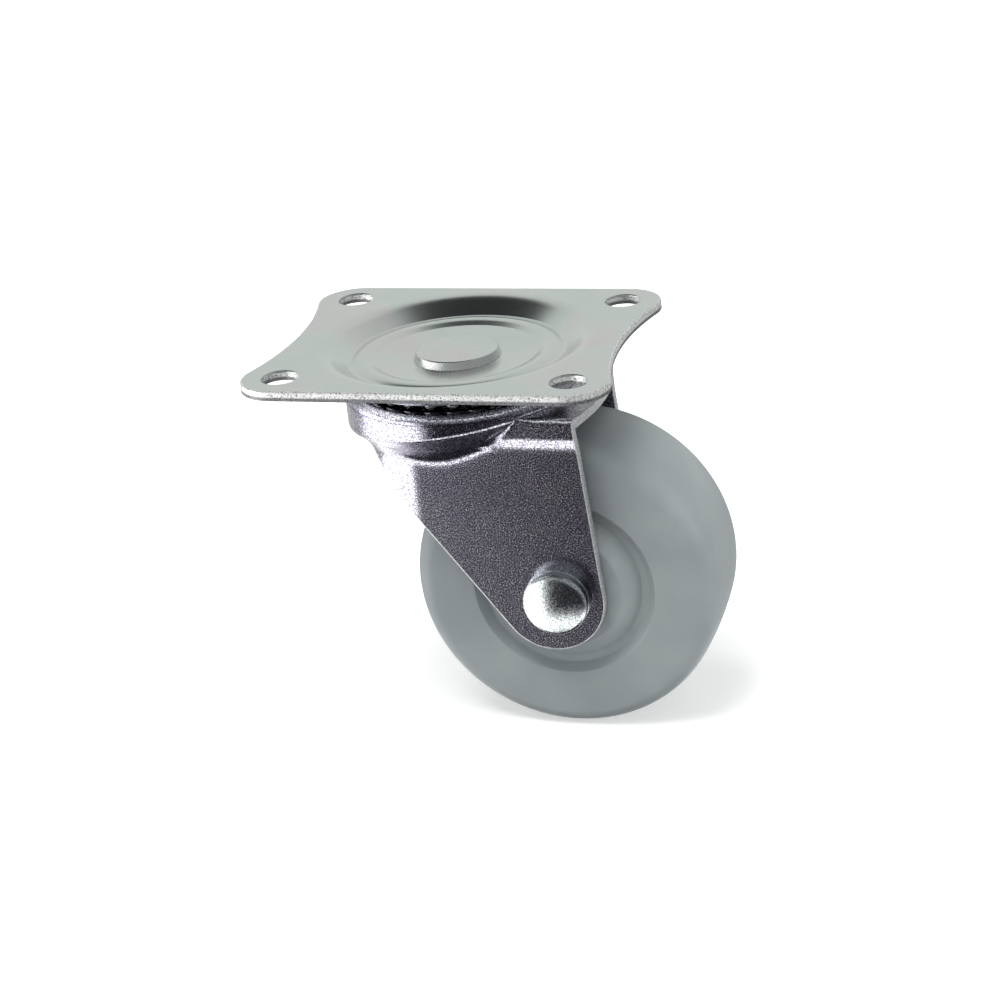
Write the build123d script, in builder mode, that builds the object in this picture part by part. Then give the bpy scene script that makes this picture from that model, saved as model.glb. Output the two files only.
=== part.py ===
"""Light-duty swivel castor: pressed top plate, two rings of loose balls, pressed fork, moulded wheel.

Frame: millimetres, +Z up.  The origin is on the swivel axis, in the flat top face of the plate.
The plate's long side runs along X.  The wheel trails towards +X and its axle is parallel to Y.
"""
from build123d import *
import math
import os

# --- top plate -------------------------------------------------------------------------------
plate_length = 58.6            # along X, over the rounded corners
plate_width = 49.4             # along Y
plate_thickness = 1.6
plate_corner_radius = 6.5
plate_waist = 2.5              # how far each short side curves inwards at its middle
plate_edge_break = 0.3         # rolled-over upper edge left by the blanking die
hole_inset_x = 6.3             # bolt hole's centre from the plate's end
hole_inset_y = 6.2             # bolt hole's centre from the plate's side
bolt_hole_diameter = 5.8
hole_edge_break = 0.25
dish_depth = 3.0               # middle of the dish, under the rivet head
dish_fall = 0.5                # the floor of the dish falls this much towards the middle
dish_gutter_depth = 2.35       # foot of the dish wall, outside the pressed raceway
dish_gutter_width = 0.7
dish_wall_angle = 32.0         # slope of the dish wall, from the horizontal
dish_lip_radius = 5.0          # soft bend from the flat plate into the dish
dish_corner_radius = 0.5       # crisp corner at the foot of the dish wall
under_corner_drop = 0.2        # the dish's lower corner hangs this much below a plain bend
under_wall_angle = 45.0        # slope of the dish wall seen from below
under_lip_radius = 2.5
raceway_crest_depth = 1.9      # top of the raised ring that the upper balls run under

# --- swivel bearing --------------------------------------------------------------------------
ball_diameter = 3.0
ball_gap = 0.35                # free space between neighbouring balls
race_clearance = 0.03          # radial play between a ball and its groove
upper_pitch_radius = 15.1
lower_pitch_radius = 11.0
plate_flank_angle = 22.0       # slope of the groove's sides in the plate
fork_flank_angle = 28.0        # slope of the groove's sides in the fork
washer_flank_angle = 45.0      # slope of the groove's sides in the lower race
washer_thickness = 1.5
washer_boss_radius = 7.4       # flat middle of the lower race, clamped against the plate
washer_boss_bend = 1.8
washer_wall_lean = 0.8         # how far the boss wall spreads between its top and its foot
washer_foot_bend = 0.3
washer_rim_radius = 12.9

# --- kingpin rivet ---------------------------------------------------------------------------
kingpin_diameter = 8.0
kingpin_head_radius = 7.05
kingpin_head_height = 1.3
kingpin_head_taper = 0.5       # the head is this much smaller at its top
kingpin_head_break = 0.25
kingpin_closing_radius = 5.4   # the upset end under the lower race
kingpin_closing_height = 1.9
rivet_clearance = 0.05         # radial, in every hole that a rivet or sleeve fills
rivet_seat_margin = 0.6        # flat sheet outside the edge of the rivet's head

# --- wheel -----------------------------------------------------------------------------------
wheel_diameter = 50.0
wheel_width = 20.0             # over the two flat faces
face_fall = 0.3                # each face falls back this much towards the tread
tread_crown = 0.4              # the tread is this much lower at its shoulders
tread_corner_radius = 3.0
recess_radius = 14.9           # outer edge of the ring-shaped recess in each face
recess_wall_width = 1.3
recess_depth = 1.35
recess_floor_width = 1.1
recess_edge_break = 0.4
boss_flank_width = 2.7
boss_proud = 1.2               # the hub stands this much proud of the face
boss_edge_radius = 0.9
wheel_trail = 17.1             # axle behind the swivel axis
tread_head_gap = 3.77          # between the tread and the underside of the fork's head

# --- axle ------------------------------------------------------------------------------------
sleeve_diameter = 8.4
sleeve_running_fit = 0.1       # radial, wheel bore on the sleeve
axle_diameter = 6.0
axle_head_radius = 5.25
axle_head_height = 3.9
axle_head_rim = 3.0            # the head's side, up to the dome
axle_head_break = 0.9          # rounding between side and dome
axle_closing_radius = 4.9
axle_closing_height = 1.7

# --- fork ------------------------------------------------------------------------------------
fork_thickness = 1.6
fork_hole_gap = 0.7            # radial, around the lower race's foot
cup_rim_radius = 1.75          # outside of the cup's rounded rim
cup_rim_inside = 0.2           # inside of the same rim
cup_rim_straight = 0.1         # straight sheet between the groove's curve and the rim's
cup_wall_straight = 0.35       # upright part of the cup's wall above the flange
shoulder_angle = 45.0          # slope of the shoulder under the cup, from the horizontal
shoulder_tilt = 7.0            # the shoulder's cone leans down towards the back
shoulder_start = 1.9           # the shoulder's upper edge is this far below the flange, at the axis
hub_side_gap = 0.4             # between the wheel's hub and each leg
leg_joggle = 0.4               # the legs step inwards by this below the head
joggle_start = 3.0             # upper end of that step, below the flange
joggle_height = 2.4
flange_bend_radius = 0.9
flange_bend_inside = 0.3
head_front = 21.7              # front corners of the head, from the swivel axis
head_front_bow = 2.2           # the front edge bows out by this at its middle
channel_back = 14.2            # back of the channel that joins the legs
channel_corner_radius = 10.0
head_back = 18.1               # where the rear edge of the legs meets the level of the flange
leg_tip_radius = 8.6
leg_tip_setback = 1.2          # tip's centre ahead of the axle, towards the swivel axis
leg_tip_drop = 0.7             # tip's centre below the axle

# --- worked out from the sizes above ---------------------------------------------------------
ball_radius = ball_diameter / 2
groove_radius = ball_radius + race_clearance
kingpin_radius = kingpin_diameter / 2
axle_radius = axle_diameter / 2
sleeve_radius = sleeve_diameter / 2
wheel_radius = wheel_diameter / 2
half_length = plate_length / 2
half_width = plate_width / 2
plate_underside = -dish_depth - plate_thickness
hub_half = wheel_width / 2 + boss_proud
leg_inner = hub_half + hub_side_gap
leg_outer = leg_inner + fork_thickness
head_half = leg_outer + leg_joggle
hole_spacing_x = plate_length - 2 * hole_inset_x
hole_spacing_y = plate_width - 2 * hole_inset_y


def slope(angle):
    """Rise per unit of run of a line at this angle, in degrees, to the horizontal."""
    return math.tan(math.radians(angle))


def stretch(angle):
    """Length along a line per unit of run, for a line at this angle to the horizontal."""
    return 1 / math.cos(math.radians(angle))


def cap_radius(base_radius, height):
    """Radius of the sphere whose cap has this base radius and height."""
    return (base_radius**2 + height**2) / (2 * height)


# Plate groove: a ring pressed upwards.  Its two sides lean at plate_flank_angle and would meet at
# plate_peak; the fillet there is concentric with the balls.
plate_ring_radius = groove_radius + plate_thickness
upper_ball_z = -raceway_crest_depth - plate_ring_radius
plate_peak = upper_ball_z + plate_ring_radius * stretch(plate_flank_angle)
ring_foot = upper_pitch_radius + (plate_peak + dish_gutter_depth) / slope(plate_flank_angle)
dish_foot = ring_foot + dish_gutter_width
dish_rim = dish_foot + dish_gutter_depth / slope(dish_wall_angle)
dish_outside = dish_rim + dish_lip_radius * slope(dish_wall_angle / 2)
floor_edge_depth = dish_depth - dish_fall
floor_edge = upper_pitch_radius - (plate_peak + floor_edge_depth) / slope(plate_flank_angle)
kingpin_hole_radius = kingpin_radius + rivet_clearance

# Underside of the dish: the same groove, a flat foot and a crisp corner that stands outside it.
under_corner_depth = dish_gutter_depth + plate_thickness + under_corner_drop
under_corner = dish_foot + plate_thickness
under_rim = under_corner + (under_corner_depth - plate_thickness) / slope(under_wall_angle)
under_outside = under_rim + under_lip_radius * slope(under_wall_angle / 2)
dish_seam = max(dish_outside, under_outside) + dish_corner_radius
plate_valley = upper_ball_z + groove_radius * stretch(plate_flank_angle)
groove_outer = upper_pitch_radius + (plate_valley + under_corner_depth) / slope(plate_flank_angle)
groove_inner = floor_edge
groove_inner_z = plate_valley - (upper_pitch_radius - groove_inner) * slope(plate_flank_angle)

# Fork groove: the sheet falls to a valley under the upper balls, then rises inwards at the same
# slope to a hump over the lower balls.
fork_ring_radius = groove_radius + fork_thickness
fork_valley = upper_ball_z - groove_radius * stretch(fork_flank_angle)
pitch_step = upper_pitch_radius - lower_pitch_radius
fork_peak = fork_valley + pitch_step * slope(fork_flank_angle)
lower_ball_z = fork_peak - fork_ring_radius * stretch(fork_flank_angle)
rim_turn = slope((90 + fork_flank_angle) / 2)
rim_run = groove_radius * slope(fork_flank_angle) + cup_rim_radius * rim_turn + cup_rim_straight
cup_radius = upper_pitch_radius + rim_run / stretch(fork_flank_angle)
rim_corner = fork_valley + (cup_radius - upper_pitch_radius) * slope(fork_flank_angle)
flange_z = rim_corner - cup_rim_radius * rim_turn - cup_wall_straight
flange_underside = flange_z - fork_thickness
axle_z = flange_underside - tread_head_gap - wheel_radius
overall_height = wheel_radius - axle_z
beyond = overall_height        # cutters reach at least this far

# Lower race: a flat boss against the plate, a steep wall through the fork and an open groove.
washer_valley = lower_ball_z - groove_radius * stretch(washer_flank_angle)
washer_foot_radius = washer_boss_radius + washer_wall_lean
washer_foot = washer_valley + (lower_pitch_radius - washer_foot_radius) * slope(washer_flank_angle)
washer_rim = washer_valley + (washer_rim_radius - lower_pitch_radius) * slope(washer_flank_angle)
fork_hole_radius = washer_foot_radius + fork_hole_gap
fork_hole_z = fork_peak - (lower_pitch_radius - fork_hole_radius) * slope(fork_flank_angle)
cup_inside = cup_radius - fork_thickness
sheet_drop = fork_thickness * stretch(fork_flank_angle)

os.makedirs("parts", exist_ok=True)


def save(piece, name):
    """Label a finished piece and write its STEP file."""
    piece.part.label = name
    export_step(piece.part, f"parts/{name}.step")


# --- top plate -------------------------------------------------------------------------------
# Each short side is one arc that runs tangent into both corner arcs.
corner_x = half_length - plate_corner_radius
corner_y = half_width - plate_corner_radius
waist_gap = half_length - plate_waist - plate_corner_radius
waist_x = (waist_gap**2 - corner_x**2 - corner_y**2) / (2 * (waist_gap - corner_x))
waist_radius = waist_x - half_length + plate_waist
waist_lean = math.degrees(math.atan2(corner_y, waist_x - corner_x))

with BuildPart() as top_plate:
    with BuildSketch(Plane.XY.offset(-plate_thickness)):
        with BuildLine():
            corner = CenterArc((corner_x, corner_y), plate_corner_radius, 90, -90 - waist_lean)
            CenterArc((waist_x, 0), waist_radius, 180 - waist_lean, waist_lean)
            Line((0, half_width), corner @ 0)
            mirror(about=Plane.XZ)
            mirror(about=Plane.YZ)
        make_face()
    extrude(amount=plate_thickness)
    fillet(top_plate.faces().sort_by(Axis.Z)[-1].edges(), plate_edge_break)
    with BuildSketch(Plane.XY.offset(-plate_thickness)):
        with GridLocations(hole_spacing_x, hole_spacing_y, 2, 2):
            Circle(bolt_hole_diameter / 2)
    extrude(amount=plate_thickness, mode=Mode.SUBTRACT)
    hole_rims = top_plate.faces().sort_by(Axis.Z)[-1].inner_wires()
    fillet([rim.edge() for rim in hole_rims], hole_edge_break)
    with BuildSketch(Plane.XY.offset(-plate_thickness)):
        Circle(dish_seam)
    extrude(amount=plate_thickness, mode=Mode.SUBTRACT)

    # The dish is one section turned about the swivel axis: its top line, then its underside.
    with BuildSketch(Plane.XZ):
        with BuildLine():
            dish_top = FilletPolyline(
                (dish_seam, 0),
                (dish_rim, 0),
                (dish_foot, -dish_gutter_depth),
                (ring_foot, -dish_gutter_depth),
                (upper_pitch_radius, plate_peak),
                (floor_edge, -floor_edge_depth),
                (kingpin_head_radius + rivet_seat_margin, -dish_depth),
                (kingpin_hole_radius, -dish_depth),
                radius=[dish_lip_radius, dish_corner_radius, dish_corner_radius,
                        plate_ring_radius, dish_corner_radius, dish_corner_radius],
            )
            dish_under = FilletPolyline(
                (kingpin_hole_radius, plate_underside),
                (kingpin_head_radius + rivet_seat_margin, plate_underside),
                (groove_inner, groove_inner_z),
                (upper_pitch_radius, plate_valley),
                (groove_outer, -under_corner_depth),
                (under_corner, -under_corner_depth),
                (under_rim, -plate_thickness),
                (dish_seam, -plate_thickness),
                radius=[dish_corner_radius, dish_corner_radius, groove_radius,
                        dish_corner_radius, dish_corner_radius, under_lip_radius],
            )
            Line(dish_top @ 1, dish_under @ 0)
            Line(dish_under @ 1, dish_top @ 0)
        make_face()
    revolve(axis=Axis.Z)
save(top_plate, "top_plate")

# --- kingpin: a headed rivet through plate and lower race --------------------------------------
washer_top = plate_underside
kingpin_closing_top = washer_top - washer_thickness

with BuildPart() as kingpin:
    with BuildSketch(Plane.XZ):
        with BuildLine():
            head_side = Polyline(
                (kingpin_head_radius, -dish_depth),
                (kingpin_head_radius - kingpin_head_taper, kingpin_head_height - dish_depth),
                (0, kingpin_head_height - dish_depth),
                (0, kingpin_closing_top - kingpin_closing_height),
            )
            RadiusArc(
                head_side @ 1,
                (kingpin_closing_radius, kingpin_closing_top),
                -cap_radius(kingpin_closing_radius, kingpin_closing_height),
            )
            Polyline(
                (kingpin_closing_radius, kingpin_closing_top),
                (kingpin_radius, kingpin_closing_top),
                (kingpin_radius, -dish_depth),
                (kingpin_head_radius, -dish_depth),
            )
        make_face()
    revolve(axis=Axis.Z)
    fillet(kingpin.edges().group_by(Axis.Z)[-1], kingpin_head_break)
save(kingpin, "kingpin")

# --- lower race: one drawn washer ---------------------------------------------------------------
with BuildPart() as lower_race:
    with BuildSketch(Plane.XZ):
        with BuildLine():
            race_top = FilletPolyline(
                (washer_rim_radius, washer_rim),
                (lower_pitch_radius, washer_valley),
                (washer_foot_radius, washer_foot),
                (washer_boss_radius, washer_top),
                (kingpin_hole_radius, washer_top),
                radius=[groove_radius, washer_foot_bend, washer_boss_bend],
            )
            offset(race_top, amount=washer_thickness, side=Side.LEFT)
        make_face()
    revolve(axis=Axis.Z)
save(lower_race, "lower_race")

# --- fork: one pressing with a cup, a flat front flange, a channel back and two legs -------------
tip_x = wheel_trail - leg_tip_setback
tip_z = axle_z - leg_tip_drop
joggle_top = flange_z - joggle_start
joggle_foot = joggle_top - joggle_height
leg_bottom = tip_z - leg_tip_radius
bow_radius = (head_half**2 + head_front_bow**2) / (2 * head_front_bow)


def channel_plan(half, inset):
    """Plan of the U-shaped head and legs: open to the front, rounded at the back."""
    back = channel_back - inset
    with BuildSketch() as plan:
        with Locations(((beyond - back) / 2, 0)):
            Rectangle(beyond + back, 2 * half)
        fillet(plan.vertices().group_by(Axis.X)[0], channel_corner_radius - inset)
    return plan.sketch


def channel_form(top, inset, bend_radius):
    """Head and legs filled solid; the outside at inset 0, the inside one sheet thickness in."""
    with BuildPart() as form:
        with BuildSketch(Plane.XY.offset(leg_bottom)):
            add(channel_plan(leg_outer - inset, inset))
        extrude(amount=joggle_foot - leg_bottom)
        with BuildSketch(Plane.XY.offset(joggle_foot)):
            add(channel_plan(leg_outer - inset, inset))
        with BuildSketch(Plane.XY.offset(joggle_top)):
            add(channel_plan(head_half - inset, inset))
        loft()
        with BuildSketch(Plane.XY.offset(joggle_top)):
            add(channel_plan(head_half - inset, inset))
        extrude(amount=top - joggle_top)
        fillet(form.edges().group_by(Axis.Z)[-1].filter_by(Axis.X), bend_radius)
    return form.part


# The shoulder below the cup is a cone whose axis leans, so that it starts lower at the back.
shoulder_plane = Plane.XY.offset(flange_z - shoulder_start).rotated((0, -shoulder_tilt, 0))
cone_radius = 2 * cup_radius
cup_bottom = flange_z - cone_radius


def cup_form(outline, radii, inset):
    """Turn an outline about the swivel axis and cut its foot by the cone, moved in by the inset."""
    with BuildPart(shoulder_plane.offset(inset * stretch(shoulder_angle))) as cone:
        Cone(0, cone_radius, cone_radius * slope(shoulder_angle))
    with BuildPart() as form:
        with BuildSketch(Plane.XZ):
            with BuildLine():
                side = FilletPolyline(*outline, radius=radii)
                Polyline(side @ 1, (0, outline[-1][1]), (0, cup_bottom), outline[0])
            make_face()
        revolve(axis=Axis.Z)
        add(cone.part, mode=Mode.INTERSECT)
    return form.part


cup_top = (
    (cup_radius, cup_bottom),
    (cup_radius, rim_corner),
    (upper_pitch_radius, fork_valley),
    (lower_pitch_radius, fork_peak),
    (fork_hole_radius, fork_hole_z),
)
cup_under = (
    (cup_inside, cup_bottom),
    (cup_inside, rim_corner - sheet_drop - fork_thickness * slope(fork_flank_angle)),
    (upper_pitch_radius, fork_valley - sheet_drop),
    (lower_pitch_radius, fork_peak - sheet_drop),
    (fork_hole_radius, fork_hole_z - sheet_drop),
)
outer_channel = channel_form(flange_z, 0, flange_bend_radius)
inner_channel = channel_form(flange_underside, fork_thickness, flange_bend_inside)
outer_cup = cup_form(cup_top, [cup_rim_radius, groove_radius, fork_ring_radius], 0)
inner_cup = cup_form(cup_under, [cup_rim_inside, fork_ring_radius, groove_radius], fork_thickness)

with BuildPart() as fork:
    add(outer_channel)
    add(outer_cup)
    add(inner_channel, mode=Mode.SUBTRACT)
    add(inner_cup, mode=Mode.SUBTRACT)
    with BuildSketch(Plane.XY.offset(flange_underside)):
        Circle(fork_hole_radius)
    extrude(amount=-flange_underside, mode=Mode.SUBTRACT)

    # The flange's front edge bows out.
    with BuildSketch(Plane.XY.offset(flange_underside)):
        with Locations((head_front + beyond, 0)):
            Rectangle(2 * beyond, 2 * beyond)
        with Locations((head_front + head_front_bow - bow_radius, 0)):
            Circle(bow_radius, mode=Mode.SUBTRACT)
    extrude(amount=fork_thickness, mode=Mode.SUBTRACT)

    # Seen from the side, the legs are the hull of their round tip and the corners of the head.
    with BuildSketch(Plane.XZ):
        with BuildLine():
            CenterArc((tip_x, tip_z), leg_tip_radius, 0, 360)
            Polyline((-head_back, flange_z), (head_front, flange_z), (head_front, flange_underside))
        make_hull()
        with Locations((0, flange_z / 2)):
            Rectangle(2 * beyond, -flange_z)
        with Locations((beyond / 2, flange_underside / 2)):
            Rectangle(beyond, -flange_underside)
    extrude(amount=leg_outer + cup_radius, both=True, mode=Mode.INTERSECT)
    with BuildSketch(Plane.XZ):
        with Locations((wheel_trail, axle_z)):
            Circle(axle_radius + rivet_clearance)
    extrude(amount=leg_outer + cup_radius, both=True, mode=Mode.SUBTRACT)
save(fork, "fork")

# --- axle: a sleeve clamped between the legs, and a domed rivet through it ------------------------
axle_plane = Plane(origin=(wheel_trail, 0, axle_z), x_dir=(0, 1, 0), z_dir=(1, 0, 0))
axle_axis = Axis((wheel_trail, 0, axle_z), (0, 1, 0))

with BuildPart() as axle_sleeve:
    with BuildSketch(Plane.XZ):
        with Locations((wheel_trail, axle_z)):
            Circle(sleeve_radius)
            Circle(axle_radius + rivet_clearance, mode=Mode.SUBTRACT)
    extrude(amount=leg_inner, both=True)
save(axle_sleeve, "axle_sleeve")

dome_height = axle_head_height - axle_head_rim
with BuildPart() as axle_rivet:
    with BuildSketch(axle_plane) as axle_section:
        with BuildLine():
            Polyline(
                (-leg_outer - axle_head_height, 0),
                (leg_outer + axle_closing_height, 0),
            )
            RadiusArc(
                (leg_outer + axle_closing_height, 0),
                (leg_outer, axle_closing_radius),
                -cap_radius(axle_closing_radius, axle_closing_height),
            )
            Polyline(
                (leg_outer, axle_closing_radius),
                (leg_outer, axle_radius),
                (-leg_outer, axle_radius),
                (-leg_outer, axle_head_radius),
                (-leg_outer - axle_head_rim, axle_head_radius),
            )
            RadiusArc(
                (-leg_outer - axle_head_rim, axle_head_radius),
                (-leg_outer - axle_head_height, 0),
                -cap_radius(axle_head_radius, dome_height),
            )
        make_face()
        fillet(axle_section.vertices().group_by(Axis.Y)[-1].sort_by(Axis.X)[0], axle_head_break)
    revolve(axis=axle_axis)
save(axle_rivet, "axle_rivet")

# --- wheel: one moulding, the same on both sides --------------------------------------------------
half_wheel = wheel_width / 2
tread_half = half_wheel - face_fall
crown_radius = cap_radius(tread_half, tread_crown)
recess_floor = half_wheel - recess_depth
recess_foot = recess_radius - recess_wall_width
boss_foot = recess_foot - recess_floor_width
boss_top = boss_foot - boss_flank_width

with BuildPart() as wheel:
    with BuildSketch(axle_plane) as wheel_section:
        with BuildLine():
            face_line = FilletPolyline(
                (0, sleeve_radius + sleeve_running_fit),
                (hub_half, sleeve_radius + sleeve_running_fit),
                (hub_half, boss_top),
                (recess_floor, boss_foot),
                (recess_floor, recess_foot),
                (half_wheel, recess_radius),
                (tread_half, wheel_radius),
                radius=[recess_edge_break, boss_edge_radius, recess_edge_break,
                        recess_edge_break, recess_edge_break],
            )
            Line(face_line @ 1, (0, wheel_radius))
            mirror(about=Plane.YZ)
        make_face()
        with Locations((0, wheel_radius - crown_radius)):
            Circle(crown_radius, mode=Mode.INTERSECT)
        fillet(wheel_section.vertices().group_by(Axis.Y)[-1], tread_corner_radius)
    revolve(axis=axle_axis)
save(wheel, "wheel")

# --- two full rings of loose balls --------------------------------------------------------------
def ball_ring(name, pitch_radius, height):
    """Write one ring of separate balls, as many as its pitch circle holds."""
    count = int(2 * math.pi * pitch_radius / (ball_diameter + ball_gap))
    for number, place in enumerate(PolarLocations(pitch_radius, count), start=1):
        with BuildPart() as ball:
            with Locations(place.position + Vector(0, 0, height)):
                Sphere(ball_radius)
        save(ball, f"{name}_ball_{number:02d}")


ball_ring("upper", upper_pitch_radius, upper_ball_z)
ball_ring("lower", lower_pitch_radius, lower_ball_z)
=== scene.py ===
"""Light-duty swivel castor with a plate mount: surfaces, finishes, soft studio light and camera.

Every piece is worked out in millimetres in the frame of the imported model: the origin is on the
swivel axis in the plate's flat top face, +Z is up and the wheel trails towards +X.
"""

import logging
import math
from dataclasses import dataclass, field
from enum import Enum

import bpy
import numpy as np
from mathutils import Matrix, Vector
from mathutils.geometry import tessellate_polygon


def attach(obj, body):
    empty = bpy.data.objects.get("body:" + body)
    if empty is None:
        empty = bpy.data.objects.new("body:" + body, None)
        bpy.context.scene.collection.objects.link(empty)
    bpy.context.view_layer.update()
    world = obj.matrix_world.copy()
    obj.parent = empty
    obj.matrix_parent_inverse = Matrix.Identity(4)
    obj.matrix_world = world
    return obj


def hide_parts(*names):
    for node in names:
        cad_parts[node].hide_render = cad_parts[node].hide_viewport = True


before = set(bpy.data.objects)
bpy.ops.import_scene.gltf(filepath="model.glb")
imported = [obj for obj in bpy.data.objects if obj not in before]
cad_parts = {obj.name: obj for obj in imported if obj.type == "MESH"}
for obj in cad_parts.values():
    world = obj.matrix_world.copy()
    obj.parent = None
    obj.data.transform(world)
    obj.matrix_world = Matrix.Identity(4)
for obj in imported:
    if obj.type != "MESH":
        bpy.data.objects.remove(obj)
MM = 0.001
LOG = logging.getLogger("castor")


class Body(Enum):
    """Moving groups of the castor."""

    PLATE = "mounting_plate"
    FORK = "swivel_fork"
    WHEEL = "road_wheel"


class Slot(Enum):
    """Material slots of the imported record."""

    PLATE = "zinc_plate"
    FORK = "zinc_fork"
    RIVET = "zinc_rivet"
    RACE = "zinc_race"
    WHEEL = "grey_plastic"


# --- nodes and colours -----------------------------------------------------------------------


def linear(hex_colour: str) -> tuple[float, float, float, float]:
    """Turn an sRGB hex value into linear red, green, blue and alpha.

    Args:
        hex_colour: six hex digits after a hash sign.

    Returns:
        The linear colour with an alpha of 1.
    """
    parts = [int(hex_colour[i:i + 2], 16) / 255 for i in (1, 3, 5)]
    red, green, blue = [c / 12.92 if c <= 0.04045 else ((c + 0.055) / 1.055) ** 2.4 for c in parts]
    return red, green, blue, 1.0


def put(tree: bpy.types.NodeTree, kind: str, settings: dict | None = None,
        inputs: dict | None = None) -> bpy.types.Node:
    """Add one node, set its properties and fill or link its inputs.

    Args:
        tree: node tree that gets the node.
        kind: Blender's name of the node type.
        settings: node properties by name.
        inputs: input sockets by name or number, each with a value or an output socket.

    Returns:
        The new node.
    """
    node = tree.nodes.new(kind)
    for name, value in (settings or {}).items():
        setattr(node, name, value)
    for name, value in (inputs or {}).items():
        if isinstance(value, bpy.types.NodeSocket):
            tree.links.new(value, node.inputs[name])
        else:
            node.inputs[name].default_value = value
    return node


def ramp(node: bpy.types.Node, stops: list[tuple[float, str]]) -> None:
    """Give a colour ramp its stops.

    Args:
        node: the colour ramp.
        stops: position and sRGB hex colour of each stop, from low to high.
    """
    elements = node.color_ramp.elements
    while len(elements) < len(stops):
        elements.new(1.0)
    for element, (position, colour) in zip(elements, stops):
        element.position = position
        element.color = linear(colour)


def blank_material(name: str) -> tuple[bpy.types.Material, bpy.types.NodeTree, bpy.types.Node]:
    """Make an empty node material with its output.

    Args:
        name: what the real surface is.

    Returns:
        The material, its node tree and its output node.
    """
    material = bpy.data.materials.new(name)
    material.use_nodes = True
    tree = material.node_tree
    tree.nodes.clear()
    return material, tree, tree.nodes.new("ShaderNodeOutputMaterial")


# --- surfaces --------------------------------------------------------------------------------


@dataclass(frozen=True)
class Patch:
    """One grid of surface points in mm, with the outward normal at each point."""

    points: np.ndarray
    normals: np.ndarray

    def mirrored(self) -> "Patch":
        """The same patch on the other side of the plane y = 0."""
        flip = np.array([1.0, -1.0, 1.0])
        return Patch(self.points * flip, self.normals * flip)


@dataclass(frozen=True)
class Stretch:
    """A smooth stretch of a flat profile: points and the normals on its right-hand side."""

    points: np.ndarray
    normals: np.ndarray

    def reversed_normals(self) -> "Stretch":
        """The same points with the normals on the left-hand side."""
        return Stretch(self.points, -self.normals)

    def flipped(self) -> "Stretch":
        """The same stretch with its heights and their normals turned upside down."""
        flip = np.array([1.0, -1.0])
        return Stretch(self.points * flip, self.normals * flip)


@dataclass(frozen=True)
class Spindle:
    """An axis that profiles are turned about, with the two directions square to it."""

    origin: tuple[float, float, float] = (0.0, 0.0, 0.0)
    first: tuple[float, float, float] = (1.0, 0.0, 0.0)
    second: tuple[float, float, float] = (0.0, 1.0, 0.0)
    along: tuple[float, float, float] = (0.0, 0.0, 1.0)

    def turn(self, stretch: Stretch, steps: int) -> Patch:
        """Turn a profile stretch round the axis.

        A point at radius r and height h goes to origin + r (first cos t + second sin t) + along h,
        with t running once round.

        Args:
            stretch: profile of radius and height.
            steps: number of steps round the circle.

        Returns:
            The turned patch.
        """
        angle = np.arange(steps + 1) % steps * (2 * np.pi / steps)
        spoke = np.cos(angle)[:, None] * np.array(self.first) + np.sin(angle)[:, None] * np.array(self.second)
        along = np.array(self.along)

        def place(flat: np.ndarray) -> np.ndarray:
            """Radius and height pairs as vectors on every spoke."""
            return flat[:, None, :1] * spoke[None] + flat[:, None, 1:] * along

        return Patch(place(stretch.points) + np.array(self.origin), place(stretch.normals))


def rounded(corners: list[tuple[float, float]], radii: list[float], step: float = 7.5) -> list[Stretch]:
    """Round the corners of an open polyline and keep each run and each arc as a smooth stretch.

    At a corner with turn a and radius r, the arc starts r tan(a / 2) before the corner and its
    centre lies r to the side that the line turns to.

    Args:
        corners: points of the polyline.
        radii: radius at each corner between the ends, 0 for a sharp one.
        step: largest turn between two points of an arc, in degrees.

    Returns:
        Runs and arcs in order, each with its normals on the right of the direction of travel.
    """
    points = np.array(corners, float)
    stretches = []
    start = points[0]
    for index, radius in enumerate([*radii, 0.0], start=1):
        before = points[index] - points[index - 1]
        before /= np.linalg.norm(before)
        side = np.array([before[1], -before[0]])
        last = index == len(points) - 1
        after = before if last else points[index + 1] - points[index]
        after = after / np.linalg.norm(after)
        turn = math.atan2(before[0] * after[1] - before[1] * after[0], before @ after)
        cut = radius * math.tan(abs(turn) / 2)
        end = points[index] - before * cut
        if np.linalg.norm(end - start) > 1e-9:
            stretches.append(Stretch(np.array([start, end]), np.array([side, side])))
        if radius > 0:
            sign = math.copysign(1.0, turn)
            centre = end - side * radius * sign
            count = max(2, int(math.degrees(abs(turn)) / step) + 2)
            spin = np.linspace(0.0, turn, count)
            normals = np.stack([side[0] * np.cos(spin) - side[1] * np.sin(spin),
                                side[0] * np.sin(spin) + side[1] * np.cos(spin)], axis=1)
            stretches.append(Stretch(centre + normals * radius * sign, normals))
        start = points[index] + after * cut
    return stretches


def carried(stretch: Stretch, path: np.ndarray, outward: np.ndarray) -> Patch:
    """Carry a profile stretch along a level closed path.

    A profile point (d, z) at a path point p with outward direction o goes to p + o d at height z.

    Args:
        stretch: profile of outward distance and height.
        path: path points in plan, closed by repeating the first.
        outward: unit outward direction at each path point.

    Returns:
        The carried patch.
    """
    flat, tilt = stretch.points, stretch.normals
    plan = path[None] + outward[None] * flat[:, None, :1]
    level = np.broadcast_to(flat[:, None, 1:], plan.shape[:2] + (1,))
    lean = outward[None] * tilt[:, None, :1]
    rise = np.broadcast_to(tilt[:, None, 1:], plan.shape[:2] + (1,))
    return Patch(np.concatenate([plan, level], axis=2), np.concatenate([lean, rise], axis=2))


def unit(vectors: np.ndarray) -> np.ndarray:
    """Vectors along the last axis, brought to length 1; a zero vector stays zero."""
    return vectors / np.maximum(np.linalg.norm(vectors, axis=-1, keepdims=True), 1e-12)


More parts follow.
